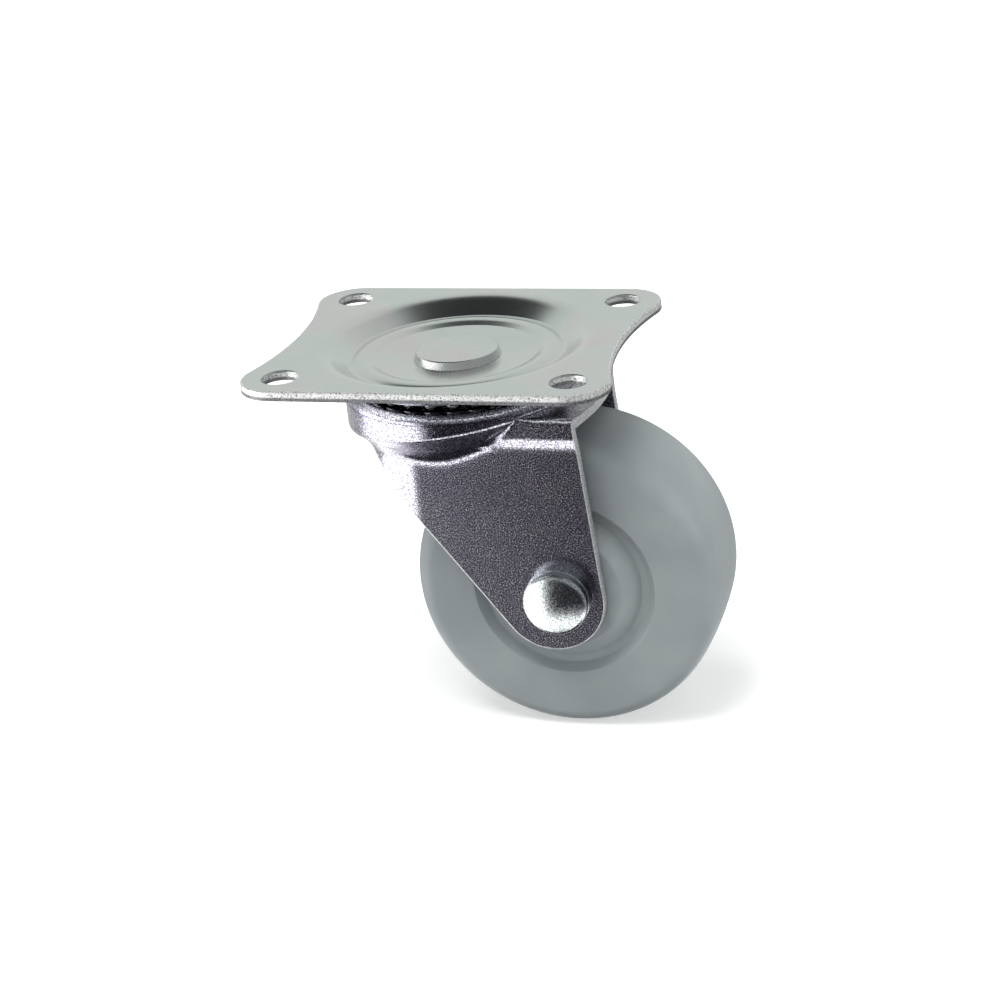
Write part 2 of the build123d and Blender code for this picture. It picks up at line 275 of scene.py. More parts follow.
def grid_normals(points: np.ndarray) -> np.ndarray:
    """Normals of a grid as the cross product of its two central differences.

    Args:
        points: grid of points.

    Returns:
        Unit normals on the same grid.
    """
    return unit(np.cross(np.gradient(points, axis=0), np.gradient(points, axis=1)))


class Skin:
    """Collects the patches of one piece and makes one welded mesh of them.

    Corners in the same cube of the weld's size, in mm, become one vertex.  The cubes are shifted by a
    part of their size, so that round numbers don't lie on their faces.
    """

    weld: float = 2e-4
    shift: float = 0.37

    def __init__(self, name: str) -> None:
        """Start an empty piece.

        Args:
            name: the piece's name.
        """
        self.name = name
        self.corners: list[np.ndarray] = []
        self.normals: list[np.ndarray] = []
        self.finishes: list[np.ndarray] = []

    def add(self, patch: Patch, finish: int = 0) -> None:
        """Add every cell of a grid as one face.

        Args:
            patch: the grid.
            finish: number of the material slot.
        """
        def cells(grid: np.ndarray) -> np.ndarray:
            """The four corners of each cell, in order round it."""
            ring = [grid[:-1, :-1], grid[1:, :-1], grid[1:, 1:], grid[:-1, 1:]]
            return np.stack(ring, axis=2).reshape(-1, 4, 3)

        self.corners.append(cells(patch.points))
        self.normals.append(cells(patch.normals))
        self.finishes.append(np.full(len(self.corners[-1]), finish))

    def add_flat(self, loops: list[np.ndarray], height: float, up: float) -> None:
        """Fill a level face inside the first loop and outside the others, in the first finish.

        Args:
            loops: closed outlines in plan, none repeating its first point.
            height: level of the face.
            up: 1 if it faces up, -1 if it faces down.
        """
        plan = np.concatenate(loops)
        triangles = np.array(tessellate_polygon([[Vector((x, y, 0.0)) for x, y in loop] for loop in loops]))
        points = np.column_stack([plan, np.full(len(plan), height)])[triangles]
        self.corners.append(np.concatenate([points, points[:, 2:]], axis=1))
        self.normals.append(np.broadcast_to(np.array([0.0, 0.0, up]), self.corners[-1].shape))
        self.finishes.append(np.zeros(len(triangles), int))

    def build(self) -> bpy.types.Object:
        """Weld the corners, turn every face outwards and make the object.

        A face whose own normal points against the mean of its corners' normals is turned over, a side
        that has shrunk to a point is left out, and a face with fewer than three sides is dropped.

        Returns:
            The linked object, at the origin, with its normals as worked out.
        """
        corners = np.concatenate(self.corners)
        normals = np.concatenate(self.normals)
        finishes = np.concatenate(self.finishes)
        keys = np.round(corners.reshape(-1, 3) / self.weld + self.shift).astype(np.int64)
        _, first, owner = np.unique(keys, axis=0, return_index=True, return_inverse=True)
        vertices = corners.reshape(-1, 3)[first] * MM
        ring = owner.reshape(-1, 4)

        facing = np.cross(corners[:, 2] - corners[:, 0], corners[:, 3] - corners[:, 1])
        wrong = (facing * normals.mean(axis=1)).sum(axis=1) < 0
        ring[wrong] = ring[wrong][:, ::-1]
        normals[wrong] = normals[wrong][:, ::-1]

        keep = ring != np.roll(ring, -1, axis=1)
        count = keep.sum(axis=1)
        pinched = (ring[:, 0] == ring[:, 2]) | (ring[:, 1] == ring[:, 3])
        solid = (count >= 3) & ~pinched
        ring, keep, count = ring[solid], keep[solid], count[solid]
        loop_vertices = ring[keep]
        loop_normals = unit(normals[solid][keep])
        starts = np.concatenate([[0], np.cumsum(count)[:-1]])

        used, loop_vertices = np.unique(loop_vertices, return_inverse=True)
        vertices = vertices[used]
        mesh = bpy.data.meshes.new(self.name)
        mesh.vertices.add(len(vertices))
        mesh.vertices.foreach_set("co", vertices.ravel().astype(np.float32))
        mesh.loops.add(len(loop_vertices))
        mesh.loops.foreach_set("vertex_index", loop_vertices.ravel().astype(np.int32))
        mesh.polygons.add(len(starts))
        mesh.polygons.foreach_set("loop_start", starts.astype(np.int32))
        mesh.polygons.foreach_set("material_index", finishes[solid].astype(np.int32))
        mesh.polygons.foreach_set("use_smooth", np.ones(len(starts), bool))
        mesh.update(calc_edges=True)
        changed = mesh.validate()
        if not changed:
            mesh.normals_split_custom_set(loop_normals)
        step = np.arange(1, len(loop_vertices) + 1)
        step[starts + count - 1] = starts
        following = loop_vertices[step]
        edges = np.sort(np.column_stack([loop_vertices, following]), axis=1)
        _, uses = np.unique(edges, axis=0, return_counts=True)
        LOG.info("%s: %d faces, %d triangles, %d open edges, repaired %s", self.name, len(starts),
                 int((count - 2).sum()), int((uses != 2).sum()), changed)
        piece = bpy.data.objects.new(self.name, mesh)
        bpy.context.scene.collection.objects.link(piece)
        return piece


def dress(piece: bpy.types.Object, body: Body, slot: Slot, node: str,
          materials: list[bpy.types.Material]) -> None:
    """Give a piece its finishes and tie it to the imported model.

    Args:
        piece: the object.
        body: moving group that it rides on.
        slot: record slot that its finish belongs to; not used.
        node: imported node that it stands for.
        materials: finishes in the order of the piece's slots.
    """
    for material in materials:
        piece.data.materials.append(material)
    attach(piece, body.value)
    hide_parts(node)


def slope(angle: float) -> float:
    """Rise per unit of run of a line at this angle, in degrees, to the horizontal."""
    return math.tan(math.radians(angle))


def stretch_of(angle: float) -> float:
    """Length per unit of run of a line at this angle, in degrees, to the horizontal."""
    return 1 / math.cos(math.radians(angle))


def cap_profile(rim: float, foot: float, height: float, steps: int = 16) -> Stretch:
    """A shallow dome's profile, from its rim to its pole.

    The sphere's radius is (rim^2 + height^2) / (2 height), and its centre is on the axis.

    Args:
        rim: radius at the foot of the dome.
        foot: height of the rim along the axis.
        height: rise of the dome.
        steps: number of steps to the pole.

    Returns:
        The profile, with normals away from the sphere's centre.
    """
    radius = (rim**2 + height**2) / (2 * height)
    angle = np.linspace(math.asin(rim / radius), 0.0, steps)
    normals = np.stack([np.sin(angle), np.cos(angle)], axis=1)
    points = normals * radius + np.array([0.0, foot + height - radius])
    points[-1, 0] = 0.0
    return Stretch(points, normals)


# --- finishes --------------------------------------------------------------------------------


@dataclass(frozen=True)
class BrightZinc:
    """Zinc electroplate with a clear blue passivate, on cold-rolled steel sheet.

    The plating is a mirror blurred by the sheet's own grain.  The passivate film is thin enough to
    tint reflections faintly green in some places and pink in others.  The real grain is too fine
    to show and is drawn coarser.
    """

    name: str
    body: str = "#E0E4E1"
    green: str = "#D8E2DB"
    pink: str = "#E4DDDE"
    roughness: float = 0.24
    grain_mm: float = 0.25
    grain_height_mm: float = 0.0008
    tint_mm: float = 14.0
    wave_mm: float = 9.0
    wave_height_mm: float = 0.02

    def build(self) -> bpy.types.Material:
        """Make the material: tint patches, grain in the gloss, grain and long waves in the bump.

        Returns:
            The material, ready for a slot.
        """
        material, tree, output = blank_material(self.name)
        place = put(tree, "ShaderNodeTexCoord").outputs["Object"]
        tint = put(tree, "ShaderNodeTexNoise", {}, {"Vector": place, "Scale": 1 / (self.tint_mm * MM),
                                                   "Detail": 3.0, "Roughness": 0.6, "Distortion": 0.4})
        colour = put(tree, "ShaderNodeValToRGB", {}, {"Fac": tint.outputs["Fac"]})
        ramp(colour, [(0.3, self.green), (0.5, self.body), (0.7, self.pink)])
        grain = put(tree, "ShaderNodeTexNoise", {}, {"Vector": place, "Scale": 1 / (self.grain_mm * MM),
                                                    "Detail": 2.0, "Roughness": 0.6})
        wave = put(tree, "ShaderNodeTexNoise", {}, {"Vector": place, "Scale": 1 / (self.wave_mm * MM),
                                                   "Detail": 1.0})
        gloss = put(tree, "ShaderNodeMapRange", {}, {"Value": grain.outputs["Fac"], "From Min": 0.3,
                                                    "From Max": 0.7, "To Min": self.roughness - 0.02,
                                                    "To Max": self.roughness + 0.03})
        waves = put(tree, "ShaderNodeBump", {}, {"Height": wave.outputs["Fac"], "Strength": 1.0,
                                                "Distance": self.wave_height_mm * MM})
        bump = put(tree, "ShaderNodeBump", {}, {"Height": grain.outputs["Fac"], "Strength": 1.0,
                                               "Distance": self.grain_height_mm * MM,
                                               "Normal": waves.outputs["Normal"]})
        shader = put(tree, "ShaderNodeBsdfPrincipled", {}, {"Base Color": colour.outputs["Color"],
                                                           "Metallic": 1.0,
                                                           "Roughness": gloss.outputs["Result"],
                                                           "Normal": bump.outputs["Normal"]})
        tree.links.new(shader.outputs["BSDF"], output.inputs["Surface"])
        return material


@dataclass(frozen=True)
class ShearedEdge:
    """Edge of plated sheet as the blanking die leaves it: a burnished band over torn metal.

    The cut shows as bright specks between dull pits, about 0.3 mm across.  Below the burnished band,
    which ends at a height on a level sheet, the torn metal is duller.
    """

    name: str = "zinc plated sheared sheet edge"
    bright: str = "#F2F2F0"
    dull: str = "#8B8C8D"
    speck_mm: float = 0.28
    speck_height_mm: float = 0.08
    torn: str = "#8E8F92"
    torn_below_mm: float = -1.1
    fade_mm: float = 0.25

    def build(self) -> bpy.types.Material:
        """Make the material: specks in colour, gloss and bump, duller below the burnished band.

        Returns:
            The material, ready for a slot.
        """
        material, tree, output = blank_material(self.name)
        place = put(tree, "ShaderNodeTexCoord").outputs["Object"]
        speck = put(tree, "ShaderNodeTexNoise", {}, {"Vector": place, "Scale": 1 / (self.speck_mm * MM),
                                                    "Detail": 3.0, "Roughness": 0.65})
        colour = put(tree, "ShaderNodeValToRGB", {}, {"Fac": speck.outputs["Fac"]})
        ramp(colour, [(0.34, self.dull), (0.5, self.bright)])
        axes = put(tree, "ShaderNodeSeparateXYZ", {}, {"Vector": place})
        tear = put(tree, "ShaderNodeMapRange", {}, {"Value": axes.outputs["Z"],
                                                   "From Min": (self.torn_below_mm + self.fade_mm) * MM,
                                                   "From Max": self.torn_below_mm * MM, "To Min": 0.0,
                                                   "To Max": 1.0})
        banded = put(tree, "ShaderNodeMix", {"data_type": "RGBA", "blend_type": "MULTIPLY"},
                     {"Factor": tear.outputs["Result"], 6: colour.outputs["Color"], 7: linear(self.torn)})
        gloss = put(tree, "ShaderNodeMapRange", {}, {"Value": speck.outputs["Fac"], "From Min": 0.35,
                                                    "From Max": 0.6, "To Min": 0.65, "To Max": 0.4})
        bump = put(tree, "ShaderNodeBump", {}, {"Height": speck.outputs["Fac"], "Strength": 1.0,
                                               "Distance": self.speck_height_mm * MM})
        shader = put(tree, "ShaderNodeBsdfPrincipled", {}, {"Base Color": banded.outputs[2],
                                                           "Metallic": 0.75,
                                                           "Roughness": gloss.outputs["Result"],
                                                           "Normal": bump.outputs["Normal"]})
        tree.links.new(shader.outputs["BSDF"], output.inputs["Surface"])
        return material


@dataclass(frozen=True)
class GrainyZinc:
    """Zinc electroplate over a drawn steel pressing.

    Drawing opens the sheet's grain, so the plating glitters in fine points over a dark reflection.
    The real points are too fine to show and are drawn coarser.
    """

    name: str = "zinc plated drawn steel"
    body: str = "#ECEAEE"
    shade: str = "#D9D7E2"
    mid: str = "#BDBBC3"
    pit: str = "#75727C"
    patch_mm: float = 9.0
    fleck_mm: float = 0.24
    grain_mm: float = 0.2
    grain_height_mm: float = 0.015
    roughness: float = 0.2

    def build(self) -> bpy.types.Material:
        """Make the material: violet and grey patches, glitter in bump and gloss.

        Returns:
            The material, ready for a slot.
        """
        material, tree, output = blank_material(self.name)
        place = put(tree, "ShaderNodeTexCoord").outputs["Object"]
        patch = put(tree, "ShaderNodeTexNoise", {}, {"Vector": place, "Scale": 1 / (self.patch_mm * MM),
                                                    "Detail": 4.0, "Roughness": 0.6})
        colour = put(tree, "ShaderNodeValToRGB", {}, {"Fac": patch.outputs["Fac"]})
        ramp(colour, [(0.35, self.shade), (0.65, self.body)])
        grain = put(tree, "ShaderNodeTexNoise", {}, {"Vector": place, "Scale": 1 / (self.grain_mm * MM),
                                                    "Detail": 2.0, "Roughness": 0.7})
        gloss = put(tree, "ShaderNodeMapRange", {}, {"Value": grain.outputs["Fac"], "From Min": 0.3,
                                                    "From Max": 0.7, "To Min": self.roughness - 0.08,
                                                    "To Max": self.roughness + 0.1})
        bump = put(tree, "ShaderNodeBump", {}, {"Height": grain.outputs["Fac"], "Strength": 1.0,
                                               "Distance": self.grain_height_mm * MM})
        fleck = put(tree, "ShaderNodeTexNoise", {}, {"Vector": place, "Scale": 1 / (self.fleck_mm * MM),
                                                    "Detail": 2.0, "Roughness": 0.8})
        glint = put(tree, "ShaderNodeValToRGB", {}, {"Fac": fleck.outputs["Fac"]})
        ramp(glint, [(0.38, self.pit), (0.51, self.mid), (0.62, "#FFFFFF")])
        speckled = put(tree, "ShaderNodeMix", {"data_type": "RGBA", "blend_type": "MULTIPLY"},
                       {"Factor": 1.0, 6: colour.outputs["Color"], 7: glint.outputs["Color"]})
        shader = put(tree, "ShaderNodeBsdfPrincipled", {}, {"Base Color": speckled.outputs[2],
                                                           "Metallic": 1.0,
                                                           "Roughness": gloss.outputs["Result"],
                                                           "Normal": bump.outputs["Normal"]})
        tree.links.new(shader.outputs["BSDF"], output.inputs["Surface"])
        return material


@dataclass(frozen=True)
class BearingSteel:
    """Ground and polished chrome steel of loose balls, with a film of grease in the gloss; the colour is darker
    than bare steel, as painted shade for the balls in the dark gap between plate and cup.
    """

    name: str = "polished bearing steel"
    # Darker than bare bearing steel: painted shade for the balls in the dark gap between plate and cup.
    body: str = "#77787A"
    film_mm: float = 1.2

    def build(self) -> bpy.types.Material:
        """Make the material: near mirror with a faint haze of grease, in a darkened colour that is painted shade.

        Returns:
            The material, ready for a slot.
        """
        material, tree, output = blank_material(self.name)
        place = put(tree, "ShaderNodeTexCoord").outputs["Object"]
        film = put(tree, "ShaderNodeTexNoise", {}, {"Vector": place, "Scale": 1 / (self.film_mm * MM),
                                                   "Detail": 2.0})
        gloss = put(tree, "ShaderNodeMapRange", {}, {"Value": film.outputs["Fac"], "To Min": 0.08,
                                                    "To Max": 0.3})
        shader = put(tree, "ShaderNodeBsdfPrincipled", {}, {"Base Color": linear(self.body),
                                                           "Metallic": 1.0,
                                                           "Roughness": gloss.outputs["Result"]})
        tree.links.new(shader.outputs["BSDF"], output.inputs["Surface"])
        return material


@dataclass(frozen=True)
class MouldedGrey:
    """Grey thermoplastic rubber, injection moulded in one piece.

    The mould's fine spark-eroded texture keeps the gloss low; flow leaves the grey a little uneven.
    The real texture is too fine to show and is drawn coarser.
    """

    name: str = "moulded grey rubber"
    body: str = "#8A9194"
    light: str = "#949A9B"
    cloud_mm: float = 12.0
    grain_mm: float = 0.12
    grain_height_mm: float = 0.004

    def build(self) -> bpy.types.Material:
        """Make the material: soft clouds in the grey and a fine matt grain.

        Returns:
            The material, ready for a slot.
        """
        material, tree, output = blank_material(self.name)
        place = put(tree, "ShaderNodeTexCoord").outputs["Object"]
        cloud = put(tree, "ShaderNodeTexNoise", {}, {"Vector": place, "Scale": 1 / (self.cloud_mm * MM),
                                                    "Detail": 3.0})
        colour = put(tree, "ShaderNodeValToRGB", {}, {"Fac": cloud.outputs["Fac"]})
        ramp(colour, [(0.35, self.body), (0.65, self.light)])
        grain = put(tree, "ShaderNodeTexNoise", {}, {"Vector": place, "Scale": 1 / (self.grain_mm * MM),
                                                    "Detail": 1.0})
        bump = put(tree, "ShaderNodeBump", {}, {"Height": grain.outputs["Fac"], "Strength": 1.0,
                                               "Distance": self.grain_height_mm * MM})
        gloss = put(tree, "ShaderNodeMapRange", {}, {"Value": grain.outputs["Fac"], "To Min": 0.42,
                                                    "To Max": 0.58})
        shader = put(tree, "ShaderNodeBsdfPrincipled", {}, {"Base Color": colour.outputs["Color"],
                                                           "IOR": 1.5,
                                                           "Roughness": gloss.outputs["Result"],
                                                           "Normal": bump.outputs["Normal"]})
        tree.links.new(shader.outputs["BSDF"], output.inputs["Surface"])
        return material


# --- swivel bearing's sizes -------------------------------------------------------------------


@dataclass(frozen=True)
class Bearing:
    """Two rings of loose balls and the grooves that they run in.  Sizes in mm."""

    ball_radius: float = 1.5
    play: float = 0.03
    upper_pitch: float = 15.1
    lower_pitch: float = 11.0
    crest_depth: float = 1.9
    sheet: float = 1.6
    plate_flank: float = 22.0
    fork_flank: float = 28.0
    washer_flank: float = 45.0

    @property
    def groove(self) -> float:
        """Radius of a groove's round bottom."""
        return self.ball_radius + self.play

    @property
    def ring(self) -> float:
        """Radius on the far side of the sheet from a groove."""
        return self.groove + self.sheet

    @property
    def upper_z(self) -> float:
        """Height of the upper balls' centres."""
        return -self.crest_depth - self.ring

    @property
    def plate_peak(self) -> float:
        """Where the raised ring's two slopes would meet."""
        return self.upper_z + self.ring * stretch_of(self.plate_flank)

    @property
    def plate_valley(self) -> float:
        """The same meeting point under the plate."""
        return self.upper_z + self.groove * stretch_of(self.plate_flank)

    @property
    def fork_valley(self) -> float:
        """Where the fork groove's slopes would meet under the upper balls."""
        return self.upper_z - self.groove * stretch_of(self.fork_flank)

    @property
    def fork_peak(self) -> float:
        """Where the fork's hump over the lower balls would come to a point."""
        return self.fork_valley + (self.upper_pitch - self.lower_pitch) * slope(self.fork_flank)

    @property
    def lower_z(self) -> float:
        """Height of the lower balls' centres."""
        return self.fork_peak - self.ring * stretch_of(self.fork_flank)


# --- top plate -------------------------------------------------------------------------------


@dataclass
class TopPlate:
    """Pressed and plated mounting plate with its dish, raised ball track and four holes.  Sizes in mm."""

    bearing: Bearing = field(default_factory=Bearing)
    length: float = 58.6
    width: float = 49.4
    sheet: float = 1.6
    corner: float = 6.5
    waist: float = 2.5
    edge_break: float = 0.3
    edge_burr: float = 0.12
    hole_x: float = 23.0
    hole_y: float = 18.5
    hole: float = 2.9
    hole_break: float = 0.3
    dish_depth: float = 3.0
    dish_fall: float = 0.5
    gutter_depth: float = 2.35
    gutter_width: float = 0.7
    wall_angle: float = 32.0
    lip: float = 5.0
    crisp: float = 0.5
    under_drop: float = 0.2
    under_angle: float = 45.0
    under_lip: float = 2.5
    seam: float = 23.2
    seat: float = 7.65
    bore: float = 4.05
    steps: int = 240
    hole_steps: int = 64

    def outline(self, steps: int = 20) -> tuple[np.ndarray, np.ndarray]:
        """Plan of the plate: straight long sides, round corners and short sides that curve in.

        The waist circle touches both corner circles from outside, so the line has no kink.

        Args:
            steps: points on each corner.

        Returns:
            Closed path points and the outward direction at each.
        """
        centre_x = self.length / 2 - self.corner
        centre_y = self.width / 2 - self.corner
        inner = self.length / 2 - self.waist
        gap = inner - self.corner
        waist_x = (gap**2 - centre_x**2 - centre_y**2) / (2 * (gap - centre_x))
        waist_radius = waist_x - inner
        lean = math.atan2(centre_y, waist_x - centre_x)
        turn = np.linspace(math.pi / 2, -lean, steps)
        corner_out = np.stack([np.cos(turn), np.sin(turn)], axis=1)
        corner = np.array([centre_x, centre_y]) + self.corner * corner_out
        swing = np.linspace(lean, -lean, 2 * steps)[1:-1]
        waist_out = np.stack([np.cos(swing), -np.sin(swing)], axis=1)
        waist = np.array([waist_x, 0.0]) - waist_radius * waist_out
        flip = np.array([1.0, -1.0])
        right = np.concatenate([corner, waist, (corner * flip)[::-1]])
        right_out = np.concatenate([corner_out, waist_out, (corner_out * flip)[::-1]])
        path = np.concatenate([right, -right, right[:1]])
        outward = np.concatenate([right_out, -right_out, right_out[:1]])
        return path, outward

    def edge_profile(self, top: float, burr: float) -> list[Stretch]:
        """Edge of the sheet from its top face to its underside.

        Args:
            top: rounding at the top face.
            burr: rounding at the underside.

        Returns:
            Stretches of outward distance and height.
        """
        line = rounded([(-top, 0.0), (0.0, 0.0), (0.0, -self.sheet), (-burr, -self.sheet)],
                       [top, burr], step=11.0)
        return [s.reversed_normals() for s in line]

    def dish_top(self) -> list[Stretch]:
        """Upper line of the dish, from the bore outwards.

        Returns:
            Stretches of radius and height.
        """
        ball = self.bearing
        ring_foot = ball.upper_pitch + (ball.plate_peak + self.gutter_depth) / slope(ball.plate_flank)
        foot = ring_foot + self.gutter_width
        rim = foot + self.gutter_depth / slope(self.wall_angle)
        floor_edge = self.dish_depth - self.dish_fall
        floor = ball.upper_pitch - (ball.plate_peak + floor_edge) / slope(ball.plate_flank)
        corners = [(self.bore, -self.dish_depth), (self.seat, -self.dish_depth), (floor, -floor_edge),
                   (ball.upper_pitch, ball.plate_peak), (ring_foot, -self.gutter_depth),
                   (foot, -self.gutter_depth), (rim, 0.0), (self.seam, 0.0)]
        radii = [self.crisp, self.crisp, ball.ring, self.crisp, self.crisp, self.lip]
        return [s.reversed_normals() for s in rounded(corners, radii, step=2.5)]

    def dish_under(self) -> list[Stretch]:
        """Lower line of the dish, from the bore outwards.

        Returns:
            Stretches of radius and height.
        """
        ball = self.bearing
        depth = self.gutter_depth + self.sheet + self.under_drop
        ring_foot = ball.upper_pitch + (ball.plate_peak + self.gutter_depth) / slope(ball.plate_flank)
        corner = ring_foot + self.gutter_width + self.sheet
        rim = corner + (depth - self.sheet) / slope(self.under_angle)
        floor = ball.upper_pitch - (ball.plate_peak + self.dish_depth - self.dish_fall) / slope(ball.plate_flank)
        inner = ball.plate_valley - (ball.upper_pitch - floor) * slope(ball.plate_flank)
        outer = ball.upper_pitch + (ball.plate_valley + depth) / slope(ball.plate_flank)
        under = -self.dish_depth - self.sheet
        corners = [(self.bore, under), (self.seat, under), (floor, inner), (ball.upper_pitch, ball.plate_valley),
                   (outer, -depth), (corner, -depth), (rim, -self.sheet), (self.seam, -self.sheet)]
        radii = [self.crisp, self.crisp, ball.groove, self.crisp, self.crisp, self.under_lip]
        return rounded(corners, radii, step=5.0)

    def build(self) -> bpy.types.Object:
        """Make the plate: turned dish, flat faces with their holes, and edges carried round.

        Returns:
            The piece, at the origin.
        """
        skin = Skin("mounting_plate_pressing")
        spindle = Spindle()
        for stretch in self.dish_top() + self.dish_under():
            skin.add(spindle.turn(stretch, self.steps))
        bore = Stretch(np.array([[self.bore, -self.dish_depth], [self.bore, -self.dish_depth - self.sheet]]),
                       np.array([[-1.0, 0.0], [-1.0, 0.0]]))
        skin.add(spindle.turn(bore, self.steps))

        path, outward = self.outline()
        for stretch in self.edge_profile(self.edge_break, self.edge_burr):
            skin.add(carried(stretch, path, outward), 1)
        angle = np.arange(self.hole_steps) * (2 * np.pi / self.hole_steps)
        circle = np.stack([np.cos(angle), np.sin(angle)], axis=1)
        holes = [np.array([x, y]) for x in (self.hole_x, -self.hole_x) for y in (self.hole_y, -self.hole_y)]
        closed = np.concatenate([circle, circle[:1]])
        for centre in holes:
            rim, *wall = self.edge_profile(self.hole_break, self.edge_burr)
            skin.add(carried(rim, centre + closed * self.hole, -closed))
            for stretch in wall:
                skin.add(carried(stretch, centre + closed * self.hole, -closed), 1)
        sweep = np.arange(self.steps) * (2 * np.pi / self.steps)
        seam = self.seam * np.stack([np.cos(sweep), np.sin(sweep)], axis=1)
        for level, up, inset, hole in ((0.0, 1.0, self.edge_break, self.hole + self.hole_break),
                                       (-self.sheet, -1.0, self.edge_burr, self.hole + self.edge_burr)):
            loops = [path[:-1] - outward[:-1] * inset, seam] + [c + circle * hole for c in holes]
            skin.add_flat(loops, level, up)
        return skin.build()


# --- rivets, race and sleeve -------------------------------------------------------------------


@dataclass
class Kingpin:
    """Headed rivet that holds the plate and the lower race together.  Sizes in mm."""

    radius: float = 4.0
    head: float = 7.05
    head_height: float = 1.3
    taper: float = 0.5
    edge: float = 0.3
    seat: float = -3.0
    closing: float = 5.4
    closing_top: float = -6.1
    closing_height: float = 1.9
    foot_round: float = 0.05
    steps: int = 128

    def build(self) -> bpy.types.Object:
        """Turn the head's side and top, the shank and the upset end.

        Returns:
            The piece, at the origin.
        """
        skin = Skin("kingpin_rivet")
        spindle = Spindle()
        top = self.seat + self.head_height
        parts = rounded([(self.radius, self.seat), (self.head, self.seat), (self.head - self.taper, top),
                         (0.0, top)], [self.foot_round, self.edge], step=10.0)
        shank = rounded([(self.closing, self.closing_top), (self.radius, self.closing_top),
                         (self.radius, self.seat)], [0.0])
        dome = cap_profile(self.closing, -self.closing_top, self.closing_height)
        for stretch in [*parts, *shank, dome.flipped()]:
            skin.add(spindle.turn(stretch, self.steps))
        return skin.build()


@dataclass
class LowerRace:
    """Drawn washer that carries the lower balls.  Sizes in mm."""

    bearing: Bearing = field(default_factory=Bearing)
    sheet: float = 1.5
    boss: float = 7.4
    boss_bend: float = 1.8
    lean: float = 0.8
    foot_bend: float = 0.3
    rim: float = 12.9
    top: float = -4.6
    bore: float = 4.05
    steps: int = 160

    def build(self) -> bpy.types.Object:
        """Turn the upper line, the line one sheet below it, the rim and the bore.

        Returns:
            The piece, at the origin.
        """
        ball = self.bearing
        valley = ball.lower_z - ball.groove * stretch_of(ball.washer_flank)
        foot = self.boss + self.lean
        foot_z = valley + (ball.lower_pitch - foot) * slope(ball.washer_flank)
        rim_z = valley + (self.rim - ball.lower_pitch) * slope(ball.washer_flank)
        line = rounded([(self.rim, rim_z), (ball.lower_pitch, valley), (foot, foot_z), (self.boss, self.top),
                        (self.bore, self.top)], [ball.groove, self.foot_bend, self.boss_bend], step=6.0)
        skin = Skin("lower_ball_race")
        spindle = Spindle()
        for stretch in line:
            skin.add(spindle.turn(stretch, self.steps))
            under = stretch.points - stretch.normals * self.sheet
            skin.add(spindle.turn(Stretch(under, -stretch.normals), self.steps))
        for stretch in (line[0], line[-1]):
            end = 0 if stretch is line[0] else -1
            near = stretch.points[end]
            far = near - stretch.normals[end] * self.sheet
            out = np.array([1.0, 1.0]) / math.sqrt(2) if end == 0 else np.array([-1.0, 0.0])
            skin.add(spindle.turn(Stretch(np.array([near, far]), np.array([out, out])), self.steps))
        return skin.build()


@dataclass
class Axle:
    """Fixed axle: a sleeve clamped between the legs and a domed rivet through it.  Sizes in mm."""

    trail: float = 17.1
    height: float = -38.599
    leg_outer: float = 13.2
    leg_inner: float = 11.6
    sleeve: float = 4.2
    shank: float = 3.0
    bore: float = 3.05
    head: float = 5.25
    head_height: float = 3.9
    head_rim: float = 1.1
    head_side: float = 3.0
    head_round: float = 0.9
    head_step: float = 0.05
    line_depth: float = 0.3
    line_half: float = 0.12
    dome_foot: float = 0.28
    dome_drop: float = 0.3
    closing: float = 4.9
    closing_height: float = 1.7
    steps: int = 128
    sleeve_steps: int = 96

    @property
    def spindle(self) -> Spindle:
        """The axle's own axis, along +Y."""
        return Spindle((self.trail, 0.0, self.height), (1.0, 0.0, 0.0), (0.0, 0.0, 1.0), (0.0, 1.0, 0.0))

    def build_sleeve(self) -> bpy.types.Object:
        """Turn the sleeve: outside, bore and two square ends.

        Returns:
            The piece, at the origin.
        """
        skin = Skin("axle_spacer_sleeve")
        half = self.leg_inner
        for stretch in rounded([(self.bore, -half), (self.sleeve, -half), (self.sleeve, half), (self.bore, half),
                                (self.bore, -half)], [0.0, 0.0, 0.0]):
            skin.add(self.spindle.turn(stretch, self.sleeve_steps))
        return skin.build()

    def build_rivet(self) -> bpy.types.Object:
        """Turn the rivet: collar, set line, rounded head with a low dome, shank and closing head.

        Returns:
            The piece, at the origin.
        """
        skin = Skin("axle_rivet_domed")
        out = self.leg_outer
        spindle = self.spindle
        line = out + self.head_rim
        side = out + self.head_side
        rim = self.head - self.head_step
        foot = rim - self.head_round
        bead = rounded([(self.shank, out), (self.head, out), (self.head, line),
                        (self.head - self.line_depth, line + self.line_half), (rim, line + 2 * self.line_half),
                        (rim, side), (foot, side + self.dome_foot)],
                       [0.04, 0.2, 0.05, 0.2, self.head_round], step=9.0)
        dome = cap_profile(foot, side + self.dome_foot, self.head_height - self.head_side - self.dome_drop, 24)
        shank = Stretch(np.array([[self.shank, -out], [self.shank, out]]), np.array([[1.0, 0.0], [1.0, 0.0]]))
        flange = Stretch(np.array([[self.shank, out], [self.closing, out]]), np.array([[0.0, -1.0], [0.0, -1.0]]))
        closing = cap_profile(self.closing, out, self.closing_height)
        for stretch in [*[s.flipped() for s in bead], dome.flipped(), shank, flange, closing]:
            skin.add(spindle.turn(stretch, self.steps))
        return skin.build()


# --- wheel -----------------------------------------------------------------------------------


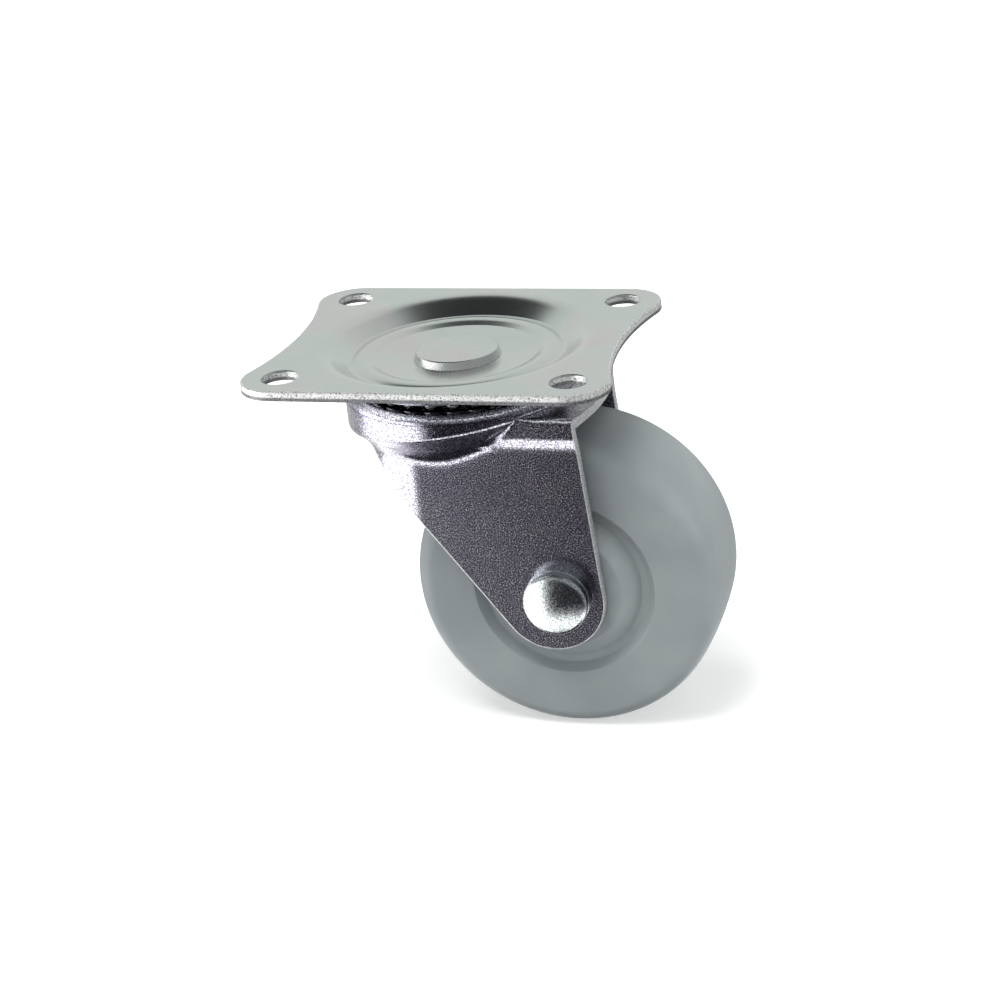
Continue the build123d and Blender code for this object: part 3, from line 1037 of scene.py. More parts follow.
@dataclass
class Wheel:
    """One-piece moulded wheel: crowned tread, flat faces, ring-shaped recess and hub.  Sizes in mm."""

    axle: Axle = field(default_factory=Axle)
    radius: float = 25.0
    half_width: float = 10.0
    face_fall: float = 0.3
    crown: float = 0.4
    corner: float = 3.0
    recess: float = 14.9
    recess_wall: float = 1.3
    recess_depth: float = 1.35
    recess_floor: float = 1.1
    recess_edge: float = 0.4
    boss_flank: float = 2.7
    boss_proud: float = 1.2
    boss_edge: float = 0.9
    bore: float = 4.3
    bore_edge: float = 0.25
    run_out: float = 3.6
    steps: int = 256

    def build(self) -> bpy.types.Object:
        """Turn half the section and mirror it; the tread's crown is one flat arc.

        Returns:
            The piece, at the origin.
        """
        hub = self.half_width + self.boss_proud
        tread = self.half_width - self.face_fall
        floor = self.half_width - self.recess_depth
        foot = self.recess - self.recess_wall
        boss_foot = foot - self.recess_floor
        boss_top = boss_foot - self.boss_flank
        crown_radius = (tread**2 + self.crown**2) / (2 * self.crown)
        heights = np.linspace(tread - self.run_out, 0.0, 12)
        fall = np.sqrt(crown_radius**2 - heights**2)
        crown = Stretch(np.stack([self.radius - crown_radius + fall, heights], axis=1),
                        np.stack([fall, heights], axis=1) / crown_radius)
        line = rounded([(self.bore, 0.0), (self.bore, hub), (boss_top, hub), (boss_foot, floor), (foot, floor),
                        (self.recess, self.half_width), (self.radius - self.crown, tread),
                        tuple(crown.points[0])],
                       [self.bore_edge, self.boss_edge, self.recess_edge, self.recess_edge, self.recess_edge,
                        self.corner],
                       step=6.0)
        skin = Skin("wheel_moulding")
        for stretch in [*[s.reversed_normals() for s in line], crown]:
            skin.add(self.axle.spindle.turn(stretch, self.steps))
            skin.add(self.axle.spindle.turn(stretch.flipped(), self.steps))
        return skin.build()


# --- fork ------------------------------------------------------------------------------------


@dataclass(frozen=True)
class ForkSkin:
    """One face of the fork's sheet, outer or inner, as grids that join edge to edge.  Sizes in mm.

    All grids cover the side y <= 0 and are mirrored.  A column starts on the U-shaped plan of the
    walls: first the flat back, then the round corner, then the straight leg.  Rows climb the wall,
    turn over its top and run along the cup's turned profile to the hole in its middle.
    """

    half_head: float
    half_leg: float
    back: float
    corner: float
    cup: float
    top: float
    cone_top: float
    cup_line: tuple[np.ndarray, np.ndarray]
    bend: float
    foot: float
    crease: float
    trim: float
    cone_angle: float
    cone_tilt: float = 7.0
    shoulder_round: float = 0.6
    bend_reach: float = 2.2
    joggle: tuple[float, float] = (-11.23, -13.63)
    head_back: float = 18.1
    head_front: float = 21.7
    bow: float = 2.2
    head_top: float = -8.229
    head_under: float = -9.829
    bow_half: float = 13.6
    outer_back: float = -14.2
    tip: tuple[float, float] = (15.9, -39.299)
    tip_radius: float = 8.6

    def half(self, z: np.ndarray) -> np.ndarray:
        """Half width of the walls at a height: a smooth step from the head down to the legs.

        The step is 3 t^2 - 2 t^3, with t from 0 to 1 over the joggle's height.

        Args:
            z: heights.

        Returns:
            The half width at each height.
        """
        high, low = self.joggle
        t = np.clip((high - z) / (high - low), 0.0, 1.0)
        return self.half_head + (self.half_leg - self.half_head) * t * t * (3 - 2 * t)

    def tangent(self, corner: tuple[float, float], side: float) -> tuple[np.ndarray, np.ndarray]:
        """Line from a corner of the head that touches the round tip.

        Args:
            corner: x and z of the corner.
            side: -1 for the rear line, 1 for the front line.

        Returns:
            The line's unit outward normal and the point where it leaves the trimmed tip.
        """
        away = np.array(corner) - np.array(self.tip)
        span = math.hypot(*away)
        tilt = math.acos(self.tip_radius / span)
        aim = math.atan2(away[1], away[0]) - side * tilt
        normal = np.array([math.cos(aim), math.sin(aim)])
        return normal, np.array(self.tip) + normal * (self.tip_radius - self.trim)

    def edge_x(self, z: np.ndarray, side: float) -> np.ndarray:
        """Where the wall ends at a height: on the line above its touching point, on the tip below.

        Args:
            z: heights.
            side: -1 for the rear, 1 for the front.

        Returns:
            The x of the trimmed edge.
        """
        corner = (-self.head_back, self.head_top) if side < 0 else (self.head_front, self.head_under)
        normal, touch = self.tangent(corner, side)
        line = touch[0] - (z - touch[1]) * normal[1] / normal[0]
        reach = np.clip((self.tip_radius - self.trim)**2 - (z - self.tip[1])**2, 0.0, None)
        bow = self.bow_x(np.full_like(z, self.half_head)) if side > 0 else line
        line = np.where(z > self.head_under, bow, line) if side > 0 else line
        return np.where(z > touch[1], line, self.tip[0] + side * np.sqrt(reach))

    def edge_out(self, z: np.ndarray, side: float) -> np.ndarray:
        """Outward direction of the wall's cut edge at a height, in the plane y = 0.

        Args:
            z: heights.
            side: -1 for the rear, 1 for the front.

        Returns:
            A unit direction for each height.
        """
        corner = (-self.head_back, self.head_top) if side < 0 else (self.head_front, self.head_under)
        normal, touch = self.tangent(corner, side)
        spoke = np.stack([self.edge_x(z, side) - self.tip[0], z - self.tip[1]], axis=1)
        spoke /= self.tip_radius - self.trim
        plan = np.where((z > touch[1])[:, None], normal[None], spoke)
        return np.stack([plan[:, 0], np.zeros(len(z)), plan[:, 1]], axis=1)

    @property
    def bow_radius(self) -> float:
        """Radius of the head's bowed front edge, untrimmed."""
        return (self.bow_half**2 + self.bow**2) / (2 * self.bow)

    def bow_x(self, y: np.ndarray) -> np.ndarray:
        """The trimmed front edge's x at a distance y from the middle."""
        radius = self.bow_radius
        return self.head_front + self.bow - radius + np.sqrt((radius - self.trim)**2 - y**2)

    def plan(self, across: np.ndarray, half: np.ndarray, front: np.ndarray) -> np.ndarray:
        """Plan of the walls.

        A column number from 0 to 1 runs along the flat back, 1 to 2 round the corner circle and
        2 to 3 along the straight leg to its front edge.

        Args:
            across: column numbers.
            half: half width at each point.
            front: x of the leg's front edge at each point.

        Returns:
            Points in plan, on the side y <= 0.
        """
        straight = -self.back + self.corner
        angle = np.clip(across - 1, 0.0, 1.0) * (np.pi / 2)
        x = -self.back + self.corner * (1 - np.cos(angle)) + np.clip(across - 2, 0.0, 1.0) * (front - straight)
        y = -(half - self.corner) * np.clip(across, 0.0, 1.0) - self.corner * np.sin(angle)
        return np.stack([x, y], axis=-1)

    def cone(self, heading: np.ndarray, z: np.ndarray) -> np.ndarray:
        """Radius of the shoulder's leaning cone in a plan direction and at a height.

        The cone reaches the cup's radius on a plane that rises towards +X by the tilt.

        Args:
            heading: plan directions.
            z: heights.

        Returns:
            The cone's radius for each.
        """
        rise = slope(self.cone_angle)
        lean = slope(self.cone_tilt) * np.cos(heading)
        return (self.cup + (z - self.cone_top) / rise) / (1 + lean / rise)

    def widened(self, base: np.ndarray, z: np.ndarray, over: np.ndarray) -> np.ndarray:
        """Points of the wall where the shoulder's cone may stand outside the plan.

        The larger of the two radii counts, with a fillet of (b - d)^2 / 4b where they differ by
        d < b, and never more than the cup's radius.

        Args:
            base: points of the plan.
            z: their heights.
            over: how far the cup overhangs the plan, for each column.

        Returns:
            Points in space.
        """
        radius = np.hypot(base[..., 0], base[..., 1])
        angle = np.arctan2(base[..., 1], base[..., 0])
        cone = self.cone(angle, z)
        blend = np.clip(over, 1e-6, self.crease)[None]
        near = np.clip(blend - np.abs(cone - radius), 0.0, None) / blend
        wide = np.minimum(np.maximum(cone, radius) + near**2 * blend / 4, np.maximum(self.cup, radius))
        return np.stack([wide * np.cos(angle), wide * np.sin(angle), z], axis=-1)

    def columns(self) -> np.ndarray:
        """Column numbers: few on the flat back, even on the corner, closer near the leg's front."""
        leg = 2 + np.sin(np.linspace(0.0, np.pi / 2, 47)[1:]) ** 1.1
        return np.concatenate([np.linspace(0, 1, 6)[:-1], np.linspace(1, 2, 30), leg])

    def bottom(self) -> float:
        """Height of the back wall's lower edge, where the rear line crosses the wall's outer face.

        Returns:
            The height, the same for both faces of the sheet.
        """
        normal, touch = self.tangent((-self.head_back, self.head_top), -1.0)
        return touch[1] + (touch[0] - self.outer_back) * normal[0] / normal[1]

    def wall_and_cup(self) -> np.ndarray:
        """Grid from the back wall's lower edge up the wall, over its top and along the cup.

        Where the cup overhangs the plan, the wall widens along the cone and turns up round the
        shoulder's edge into the upright cup wall.  In front it bends over into the flat head instead,
        with a bend that grows to its full radius over a short reach outside the cup.

        Returns:
            The grid; its first row is the lower edge and its last is at the hole.
        """
        across = self.columns()
        low = self.bottom()
        ones = np.ones_like(across)
        rim = self.plan(across, self.half_head * ones, self.bow_x(np.array(self.half_head)) * ones)
        heading = np.arctan2(rim[:, 1], rim[:, 0])
        over = self.cup - np.hypot(rim[:, 0], rim[:, 1])
        cone_edge = self.cone_top + slope(self.cone_tilt) * self.cup * np.cos(heading)
        shelf = np.clip(-over / self.bend_reach, 0.0, self.bend)
        round_up = np.clip(over * 0.5, 0.0, self.shoulder_round)
        wall_top = np.where(over > 0, cone_edge - round_up * 0.5, self.top - shelf)

        t = np.concatenate([np.linspace(0.0, 0.3, 10)[:-1], np.linspace(0.3, 1.0, 40)])[:, None]
        z = low + (wall_top[None] - low) * t
        base = self.plan(across[None] + 0 * z, self.half(z), self.edge_x(z, 1.0))
        wall = self.widened(base, z, over)

        bend = np.linspace(0.0, np.pi / 2, 9)[1:, None]
        run = shelf[None] * (1 - np.cos(bend))
        depth = np.maximum(np.abs(rim[:, 1])[None] - run, 0.0)
        front = np.where(across[None] >= 3, self.bow_x(depth), rim[None, :, 0])
        turned = np.stack([front, -depth, self.top - shelf[None] * (1 - np.sin(bend))], axis=-1)
        end = np.hypot(wall[-1:, :, 0], wall[-1:, :, 1])
        swell = end + (self.cup - end) * np.sin(bend)
        up = wall_top[None] + (cone_edge[None] + round_up[None] * 0.7 - wall_top[None]) * (1 - np.cos(bend)) ** 0.8
        bulged = np.stack([swell * np.cos(heading)[None], swell * np.sin(heading)[None], up], axis=-1)
        edge = np.where((over > 0)[None, :, None], bulged, turned)

        rows = np.concatenate([wall, edge], axis=0)
        return np.concatenate([rows, self.shelf_and_cup(rows[-1])[1:]], axis=0)

    def shelf_and_cup(self, start: np.ndarray) -> np.ndarray:
        """Rows from given points inwards: flat head, foot of the cup's wall, then its profile.

        The points keep their headings.  The fillet at the foot is at most 0.45 of the flat's width.

        Args:
            start: first row, on the flat head or already on the cup's wall.

        Returns:
            The grid, with the given row first.
        """
        heading = np.arctan2(start[:, 1], start[:, 0])
        reach = np.hypot(start[:, 0], start[:, 1])
        free = np.clip(reach - self.cup, 0.0, None)
        foot = np.clip(free * 0.45, 0.0, self.foot)
        spoke = np.stack([np.cos(heading), np.sin(heading)], axis=-1)
        t = np.linspace(0.0, 1.0, 12)[:, None]
        flat_radius = reach[None] + (self.cup + foot - reach)[None] * t
        flat = np.concatenate([flat_radius[..., None] * spoke[None],
                               np.broadcast_to(start[None, :, 2:], flat_radius.shape + (1,))], axis=-1)
        flat[0] = start
        bend = np.linspace(0.0, np.pi / 2, 7)[1:, None]
        inner = self.cup + foot[None] * (1 - np.sin(bend))
        rise = start[None, :, 2] + foot[None] * (1 - np.cos(bend))
        curve = np.concatenate([inner[..., None] * spoke[None], rise[..., None]], axis=-1)
        line_r, line_z = self.cup_line
        climb = np.linspace(0.0, 1.0, 5)[1:-1, None]
        upright_z = rise[-1:] + (line_z[0] - rise[-1:]) * climb
        upright = np.concatenate([np.full_like(upright_z, self.cup)[..., None] * spoke[None], upright_z[..., None]],
                                 axis=-1)
        ring_z = np.broadcast_to(line_z[:, None, None], (len(line_z), len(heading), 1))
        ring = np.concatenate([line_r[:, None, None] * spoke[None], ring_z], axis=-1)
        return np.concatenate([flat, curve, upright, ring], axis=0)

    def front(self, corner: np.ndarray, steps: int = 26) -> np.ndarray:
        """Grid of the flat head in front of the cup and of the cup's front, to the middle line.

        Args:
            corner: the point where the side's bend ends at the front edge.
            steps: number of columns.

        Returns:
            The grid; its first row is the front edge.
        """
        y = corner[1] * (1 - np.linspace(0.0, 1.0, steps))
        start = np.stack([self.bow_x(y), y, np.full_like(y, corner[2])], axis=-1)
        start[0] = corner
        return self.shelf_and_cup(start)

    def leg(self) -> np.ndarray:
        """Grid of the leg below the back wall's edge, down to the bottom of its round tip.

        A row runs along the plan from the rear line to the front line at its height, with its points
        in the same shares of that length as on the row where it meets the wall above.

        Returns:
            The grid; its first row meets the wall's.
        """
        across = self.columns()
        across = across[across >= 1]
        low = self.bottom()
        ones = np.ones_like(across)
        top = self.plan(across, self.half(np.array(low)) * ones, self.edge_x(np.array([low]), 1.0)[0] * ones)
        rim = self.plan(across, self.half_head * ones, self.bow_x(np.array(self.half_head)) * ones)
        over = self.cup - np.hypot(rim[:, 0], rim[:, 1])
        arc = self.corner * np.pi / 2
        along = np.where(across < 2, (across - 1) * arc, arc + top[:, 0] + self.back - self.corner)
        share = along / along[-1]
        sweep = np.linspace(0.0, np.pi / 2, 22)
        z = np.concatenate([np.linspace(low, self.tip[1], 44)[:-1],
                            self.tip[1] - (self.tip_radius - self.trim) * np.sin(sweep)])
        rear, front = self.edge_x(z, -1.0), self.edge_x(z, 1.0)
        turn = np.arccos(np.clip(1 - (rear + self.back) / self.corner, -1.0, 1.0))
        straight = rear + self.back - self.corner
        first = np.where(straight < 0, self.corner * np.clip(turn, 0.0, np.pi / 2), arc + straight)
        first[0] = 0.0
        last = arc + front + self.back - self.corner
        run = first[:, None] + (last - first)[:, None] * share[None]
        angle = np.clip(run / self.corner, 0.0, np.pi / 2)
        x = -self.back + self.corner * (1 - np.cos(angle)) + np.clip(run - arc, 0.0, None)
        y = -(self.half(z)[:, None] - self.corner) - self.corner * np.sin(angle)
        return self.widened(np.stack([x, y], axis=-1), np.broadcast_to(z[:, None], x.shape), over)


@dataclass
class Fork:
    """Pressed and plated fork: cup over the ball rings, leaning shoulder, flat head and two legs."""

    bearing: Bearing = field(default_factory=Bearing)
    sheet: float = 1.6
    half_head: float = 13.6
    half_leg: float = 13.2
    back: float = 14.2
    back_corner: float = 10.0
    cup: float = 18.478
    cup_rim: float = 1.75
    cup_rim_inside: float = 0.25
    rim_corner: float = -4.967
    flange: float = -8.229
    shoulder_start: float = 1.9
    shoulder_angle: float = 45.0
    hole: float = 8.9
    edge: float = 0.22

    def cup_profile(self, inset: float) -> tuple[np.ndarray, np.ndarray]:
        """Radius and height along the cup, from its wall over the rim and the groove to the hole.

        Args:
            inset: 0 for the upper face, one sheet for the lower face.

        Returns:
            Radii and heights, closely spaced on the bends.
        """
        ball = self.bearing
        rise = slope(ball.fork_flank)
        drop = inset * stretch_of(ball.fork_flank)
        wall = self.cup - inset
        corner = self.rim_corner - drop - inset * rise
        hole_z = ball.fork_peak - (ball.lower_pitch - self.hole) * rise - drop
        start = corner - 0.6 if inset else self.flange + 0.55
        radii = [self.cup_rim_inside, ball.ring, ball.groove] if inset else [self.cup_rim, ball.groove, ball.ring]
        line = rounded([(wall, start), (wall, corner), (ball.upper_pitch, ball.fork_valley - drop),
                        (ball.lower_pitch, ball.fork_peak - drop),
                        (self.hole + self.edge, hole_z + self.edge * rise)],
                       radii, step=9.0)
        points = np.concatenate([line[0].points, *[s.points[1:] for s in line[1:]]])
        return points[:, 0], points[:, 1]

    def face(self, inset: float) -> ForkSkin:
        """One face of the sheet.

        Args:
            inset: 0 for the outer face, one sheet for the inner face.

        Returns:
            The face with its sizes moved in by the inset.
        """
        bend, foot, crease = (0.35, 0.8, 0.9) if inset else (0.9, 0.45, 1.3)
        cone_top = self.flange - self.shoulder_start + inset * stretch_of(self.shoulder_angle)
        return ForkSkin(half_head=self.half_head - inset, half_leg=self.half_leg - inset, back=self.back - inset,
                        corner=self.back_corner - inset, cup=self.cup - inset, top=self.flange - inset,
                        cone_top=cone_top, cup_line=self.cup_profile(inset), bend=bend, foot=foot,
                        crease=crease, trim=self.edge, cone_angle=self.shoulder_angle)

    def side(self, inset: float) -> "SheetSide":
        """Work out one face's grids and their normals.

        Args:
            inset: 0 for the outer face, one sheet for the inner face.

        Returns:
            The face, its grids and normals, which point out of the sheet.
        """
        face = self.face(inset)
        main = face.wall_and_cup()
        corner_row = len(main) - len(face.shelf_and_cup(main[0]))
        front = face.front(main[corner_row, -1])
        leg = face.leg()
        sign = -1.0 if inset else 1.0
        normals = []
        for grid in (main, front, leg):
            normal = grid_normals(grid)
            row, column = len(grid) // 3, grid.shape[1] // 2
            x, y, _ = grid[row, column]
            aim = np.array([0.0, 0.0, 1.0]) if grid is front else np.array([x, y, 0.0])
            normals.append(-normal if (normal[row, column] @ aim) * sign < 0 else normal)
        shared = normals[0][0, -leg.shape[1]:] + normals[2][0]
        normals[0][0, -leg.shape[1]:] = normals[2][0] = shared
        for grid, normal, column in ((main, normals[0], 0), (front, normals[1], -1)):
            normal[:, column, 1] = 0.0
            grid[:, column, 1] = 0.0
        wall, head, below = (Patch(grid, unit(normal)) for grid, normal in zip((main, front, leg), normals))
        return SheetSide(face, wall, head, below, corner_row)

    def build(self) -> bpy.types.Object:
        """Make both faces, the rounded cut edge round them and the edge of the hole.

        Returns:
            The piece, at the origin.
        """
        skin = Skin("fork_pressing")
        outer, inner = self.side(0.0), self.side(self.sheet)
        for side in (outer, inner):
            for patch in (side.wall, side.head, side.leg):
                skin.add(patch)
                skin.add(patch.mirrored())
        for patch in (self.cut_edge(outer, inner), self.hole_edge(outer, inner)):
            skin.add(patch, 1)
            skin.add(patch.mirrored(), 1)
        return skin.build()

    def cut_edge(self, outer: "SheetSide", inner: "SheetSide") -> Patch:
        """Edge of the sheet all round the fork.

        From each face the edge bends along a parabola, of the trim's size, into the cut that runs
        straight across the sheet: at a share t of the bend it stands 1 - (1 - t)^2 of the trim
        outwards and t^2 of it across.

        Args:
            outer: the outer face.
            inner: the inner face.

        Returns:
            The edge on the side y <= 0.
        """
        (start, start_lean, out), (end, end_lean, _) = outer.outline(), inner.outline()
        step = (end - start) / np.maximum(np.linalg.norm(end - start, axis=1, keepdims=True), 1e-9)
        t = np.linspace(0.0, 1.0, 5)[:, None, None]
        reach, fall = self.edge * (1 - (1 - t)**2), self.edge * t**2
        rows = np.concatenate([start + out * reach + step * fall, (end + out * reach - step * fall)[::-1]])
        lean = np.concatenate([start_lean * (1 - t) + out * t, (end_lean * (1 - t) + out * t)[::-1]])
        return Patch(rows, unit(lean))

    def hole_edge(self, outer: "SheetSide", inner: "SheetSide") -> Patch:
        """Edge of the hole in the cup's middle, broken by the trim on both sides.

        Args:
            outer: the outer face.
            inner: the inner face.

        Returns:
            The edge on the side y <= 0.
        """
        (upper, upper_lean), (lower, lower_lean) = outer.hole_rim(), inner.hole_rim()
        inward = unit(-upper * np.array([1.0, 1.0, 0.0]))
        down = np.array([0.0, 0.0, -1.0])
        trim = self.edge
        soft = inward * trim * 0.75 + down * trim * 0.25
        soft_up = inward * trim * 0.75 - down * trim * 0.25
        rows = [upper, upper + soft, upper + inward * trim + down * trim, lower + inward * trim - down * trim,
                lower + soft_up, lower]
        leans = [upper_lean, upper_lean + inward, inward, inward, lower_lean + inward, lower_lean]
        return Patch(np.stack(rows), unit(np.stack(leans)))


@dataclass(frozen=True)
class SheetSide:
    """One finished face of the fork: wall with cup, flat head and leg, each as a patch."""

    face: ForkSkin
    wall: Patch
    head: Patch
    leg: Patch
    corner_row: int
    turn_start: float = 1.0
    turn_length: float = 1.6

    def outline(self) -> tuple[np.ndarray, np.ndarray, np.ndarray]:
        """Path along the trimmed edge, from the middle of the front round the leg to the back.

        Returns:
            Points, the face's normals there and the outward direction in the face.
        """
        face, head, wall, leg = self.face, self.head, self.wall, self.leg
        rows = self.corner_row
        split = len(face.columns()) - leg.points.shape[1]
        points, lean = (np.concatenate([b[0][::-1], a[:rows, -1][::-1], c[1:, -1], c[:-1, 0][::-1],
                                        a[0, :split][::-1]])
                        for a, b, c in ((wall.points, head.points, leg.points),
                                        (wall.normals, head.normals, leg.normals)))
        rim = head.points[0]
        middle = face.head_front + face.bow - face.bow_radius
        bow = np.stack([rim[:, 0] - middle, rim[:, 1], np.zeros(len(rim))], axis=1) / (face.bow_radius - face.trim)
        side_z = wall.points[:rows, -1, 2]
        blend = np.clip((side_z - face.head_under + self.turn_start) / self.turn_length, 0.0, 1.0)[:, None]
        side_out = face.edge_out(side_z, 1.0) * (1 - blend) + bow[0] * blend
        leg_z = leg.points[:, 0, 2]
        rear = face.edge_out(leg_z, -1.0)
        out = np.concatenate([bow[::-1], side_out[::-1], face.edge_out(leg_z[1:], 1.0), rear[:-1][::-1],
                              np.tile(rear[0], (split, 1))])
        return points, lean, unit(out)

    def hole_rim(self) -> tuple[np.ndarray, np.ndarray]:
        """Path along the trimmed edge of the hole.

        Returns:
            Points and the face's normals there.
        """
        points, lean = (np.concatenate([a[-1], b[-1][1:]]) for a, b in
                        ((self.wall.points, self.head.points), (self.wall.normals, self.head.normals)))
        return points, lean


# --- studio and camera -------------------------------------------------------------------------


@dataclass
class Studio:
    """Pale floor, white surround and soft lamps.  Sizes in metres.

    The surround is what the plating mirrors: a bright cove on the left, a dark near side, grey walls
    and roof, and a bright strip of table low down.  A dark opening in the roof gives the dish its
    dark crescent.
    """

    floor_z: float = -0.0636
    reach: float = 3.0
    opening: tuple[float, float, float] = (-0.28, 0.03, 0.96)
    surround_strength: float = 3.2

    def lamp(self, name: str, place: tuple[float, float, float], aim: tuple[float, float, float],
             size: tuple[float, float], watts: float) -> None:
        """Hang one soft rectangular lamp, which the plating doesn't mirror.

        Args:
            name: the lamp's name.
            place: its centre.
            aim: the point that it faces.
            size: width and height.
            watts: its power.
        """
        light = bpy.data.lights.new(name, "AREA")
        light.shape = "RECTANGLE"
        light.size, light.size_y = size
        light.energy = watts
        lamp = bpy.data.objects.new(name, light)
        bpy.context.scene.collection.objects.link(lamp)
        lamp.location = place
        lamp.visible_glossy = False
        lamp.rotation_euler = (Vector(aim) - Vector(place)).to_track_quat("-Z", "Y").to_euler()

    def build_floor(self) -> None:
        """Lay the floor: white to the eye, with the object's soft shadow, and unseen in the metal."""
        mesh = bpy.data.meshes.new("floor")
        reach, z = self.reach, self.floor_z
        mesh.from_pydata([(-reach, -reach, z), (reach, -reach, z), (reach, reach, z), (-reach, reach, z)], [],
                         [(0, 1, 2, 3)])
        floor = bpy.data.objects.new("floor", mesh)
        bpy.context.scene.collection.objects.link(floor)
        material, tree, output = blank_material("matt white studio floor")
        path = put(tree, "ShaderNodeLightPath")
        matt = put(tree, "ShaderNodeBsdfDiffuse", {}, {"Color": linear("#D8D8D8")})
        place = put(tree, "ShaderNodeTexCoord").outputs["Object"]
        away = put(tree, "ShaderNodeVectorMath", {"operation": "LENGTH"}, {0: place})
        glow = put(tree, "ShaderNodeMapRange", {}, {"Value": away.outputs["Value"], "From Min": 0.05,
                                                   "From Max": 0.3, "To Min": 0.45, "To Max": 1.0})
        lift = put(tree, "ShaderNodeEmission", {}, {"Color": (1.0, 1.0, 1.0, 1.0),
                                                   "Strength": glow.outputs["Result"]})
        seen = put(tree, "ShaderNodeAddShader", {}, {0: matt.outputs[0], 1: lift.outputs[0]})
        plain = put(tree, "ShaderNodeMixShader", {}, {"Fac": path.outputs["Is Camera Ray"], 1: matt.outputs[0],
                                                     2: seen.outputs[0]})
        clear = put(tree, "ShaderNodeBsdfTransparent")
        both = put(tree, "ShaderNodeMixShader", {}, {"Fac": path.outputs["Is Glossy Ray"], 1: plain.outputs[0],
                                                    2: clear.outputs[0]})
        tree.links.new(both.outputs[0], output.inputs["Surface"])
        mesh.materials.append(material)

    def build_surround(self) -> None:
        """Make the world: white to the eye, and the cove, table and roof for reflections."""
        world = bpy.data.worlds.new("studio surround")
        bpy.context.scene.world = world
        world.use_nodes = True
        tree = world.node_tree
        tree.nodes.clear()
        output = tree.nodes.new("ShaderNodeOutputWorld")
        way = put(tree, "ShaderNodeTexCoord").outputs["Generated"]
        axes = put(tree, "ShaderNodeSeparateXYZ", {}, {"Vector": way})
        swing = put(tree, "ShaderNodeMath", {"operation": "ARCTAN2"}, {0: axes.outputs["Y"], 1: axes.outputs["X"]})
        round_about = put(tree, "ShaderNodeMapRange", {}, {"Value": swing.outputs[0], "From Min": -math.pi,
                                                          "From Max": math.pi})
        # Round about from -X by -Y, +X and +Y to -X: cove, dark near side, grey room, cove.
        walls = put(tree, "ShaderNodeValToRGB", {}, {"Fac": round_about.outputs["Result"]})
        ramp(walls, [(0.0, "#FFFFFF"), (0.168, "#FFFFFF"), (0.18, "#201E26"), (0.21, "#121115"), (0.38, "#151418"),
                     (0.5, "#4E5051"), (0.62, "#5E6060"), (0.72, "#808281"), (0.96, "#808281"), (0.99, "#FFFFFF")])
        climb = put(tree, "ShaderNodeMapRange", {}, {"Value": axes.outputs["Z"], "From Min": -1.0})
        # By height, from straight down to straight up: dark beneath, pale table, walls, roof.
        low = put(tree, "ShaderNodeValToRGB", {}, {"Fac": climb.outputs["Result"]})
        ramp(low, [(0.07, "#000000"), (0.11, "#FFFFFF"), (0.17, "#FFFFFF"), (0.22, "#000000")])
        under = put(tree, "ShaderNodeValToRGB", {}, {"Fac": climb.outputs["Result"]})
        ramp(under, [(0.07, "#FFFFFF"), (0.1, "#000000")])
        high = put(tree, "ShaderNodeValToRGB", {}, {"Fac": climb.outputs["Result"]})
        ramp(high, [(0.6, "#000000"), (0.64, "#FFFFFF")])
        upper = put(tree, "ShaderNodeValToRGB", {}, {"Fac": round_about.outputs["Result"]})
        ramp(upper, [(0.0, "#747675"), (0.2, "#646666"), (0.36, "#5A5C5C"), (0.6, "#5E6060"), (0.72, "#7D7F7E"),
                     (0.9, "#7D7F7E")])
        # The dark opening, high up and a little towards -X.
        gap = put(tree, "ShaderNodeVectorMath", {"operation": "DOT_PRODUCT"}, {0: way, 1: self.opening})
        zenith = put(tree, "ShaderNodeValToRGB", {}, {"Fac": gap.outputs["Value"]})
        ramp(zenith, [(0.8, "#000000"), (0.88, "#FFFFFF")])
        roof = put(tree, "ShaderNodeMix", {"data_type": "RGBA"},
                   {"Factor": zenith.outputs["Color"], 6: upper.outputs["Color"], 7: linear("#141516")})
        beneath = put(tree, "ShaderNodeMix", {"data_type": "RGBA"},
                      {"Factor": under.outputs["Color"], 6: walls.outputs["Color"], 7: linear("#151418")})
        base = put(tree, "ShaderNodeMix", {"data_type": "RGBA"},
                   {"Factor": low.outputs["Color"], 6: beneath.outputs[2], 7: linear("#E6E6E6")})
        colour = put(tree, "ShaderNodeMix", {"data_type": "RGBA"},
                     {"Factor": high.outputs["Color"], 6: base.outputs[2], 7: roof.outputs[2]})
        around = put(tree, "ShaderNodeBackground", {}, {"Color": colour.outputs[2],
                                                       "Strength": self.surround_strength})
        white = put(tree, "ShaderNodeBackground", {}, {"Color": (1.0, 1.0, 1.0, 1.0), "Strength": 1.0})
        path = put(tree, "ShaderNodeLightPath")
        both = put(tree, "ShaderNodeMixShader", {}, {"Fac": path.outputs["Is Camera Ray"], 1: around.outputs[0],
                                                    2: white.outputs[0]})
        tree.links.new(both.outputs[0], output.inputs["Surface"])

    def build(self) -> None:
        """Floor, surround and lamps."""
        self.build_floor()
        self.build_surround()
        self.lamp("key", (-0.1, -0.2, 0.66), (0.0, 0.0, -0.02), (0.4, 0.4), 6.0)
        self.lamp("fill", (0.6, -0.1, 0.0), (0.0, 0.0, -0.03), (0.4, 0.4), 2.4)


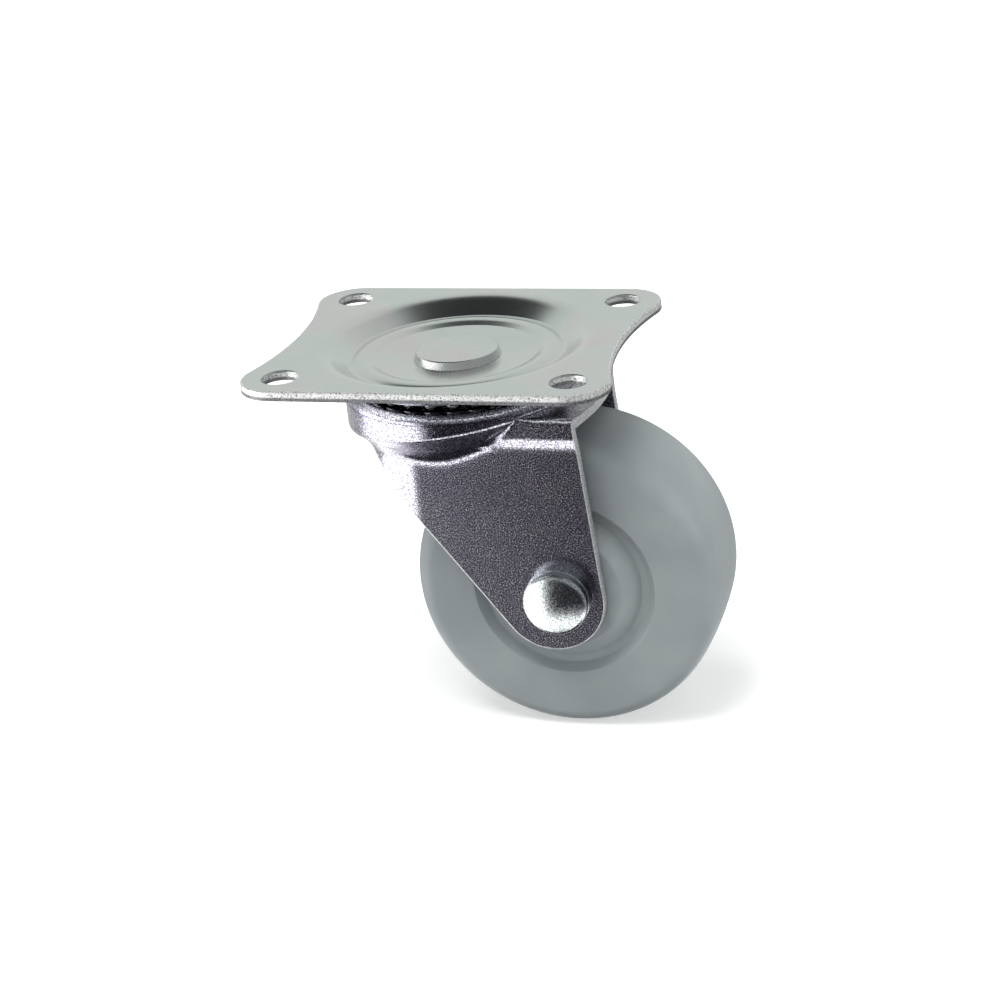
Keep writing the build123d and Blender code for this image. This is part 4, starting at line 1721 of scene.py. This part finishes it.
@dataclass
class View:
    """Camera that sees the castor from in front, a little above and from the wheel's side."""

    place: tuple[float, float, float] = (0.11134221, -0.33675516, 0.12261727)
    right: tuple[float, float, float] = (0.96030799, 0.26509241, -0.08680197)
    up: tuple[float, float, float] = (-0.02780804, 0.40061384, 0.91582491)
    back: tuple[float, float, float] = (0.27755231, -0.87706018, 0.39208437)
    lens: float = 85.0258

    def build(self) -> None:
        """Make the camera and put it to use."""
        data = bpy.data.cameras.new("camera")
        data.sensor_width = 36.0
        data.sensor_fit = "HORIZONTAL"
        data.lens = self.lens
        data.clip_start, data.clip_end = 0.01, 20.0
        camera = bpy.data.objects.new("camera", data)
        bpy.context.scene.collection.objects.link(camera)
        turn = Matrix((self.right, self.up, self.back)).transposed().to_4x4()
        camera.matrix_world = Matrix.Translation(Vector(self.place)) @ turn
        bpy.context.scene.camera = camera


def main() -> None:
    """Build the castor piece by piece, then the studio and the camera."""
    logging.basicConfig(level=logging.INFO, format="%(name)s %(message)s")
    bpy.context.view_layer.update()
    plate_zinc = BrightZinc("clear passivated zinc on rolled sheet").build()
    sheared = ShearedEdge().build()
    cut = ShearedEdge("zinc plated cut leg edge", bright="#DFE0E1", torn_below_mm=-200.0).build()
    drawn = GrainyZinc().build()
    rivet_zinc = BrightZinc("barrel plated rivet zinc", roughness=0.26).build()
    tumbled = GrainyZinc("tumbled rivet zinc", "#F2F4F4", "#E4E8E8", "#DADEE0", "#9A9EA2", roughness=0.24,
                         grain_height_mm=0.014).build()
    dress(TopPlate().build(), Body.PLATE, Slot.PLATE, "top_plate", [plate_zinc, sheared])
    dress(Kingpin().build(), Body.PLATE, Slot.RIVET, "kingpin", [rivet_zinc])
    dress(LowerRace().build(), Body.PLATE, Slot.RACE, "lower_race", [plate_zinc])
    dress(Fork().build(), Body.FORK, Slot.FORK, "fork", [drawn, cut])
    axle = Axle()
    dress(axle.build_sleeve(), Body.FORK, Slot.RACE, "axle_sleeve", [plate_zinc])
    dress(axle.build_rivet(), Body.FORK, Slot.RIVET, "axle_rivet", [tumbled])
    dress(Wheel(axle).build(), Body.WHEEL, Slot.WHEEL, "wheel", [MouldedGrey().build()])
    steel = BearingSteel().build()
    balls = [node for name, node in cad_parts.items() if "_ball_" in name]
    for ball in balls:
        ball.data.materials.clear()
        ball.data.materials.append(steel)
    LOG.info("loose balls: %d", len(balls))
    Studio().build()
    View().build()
    bpy.context.scene.view_settings.view_transform = "Standard"
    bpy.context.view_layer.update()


if __name__ == "__main__":
    main()
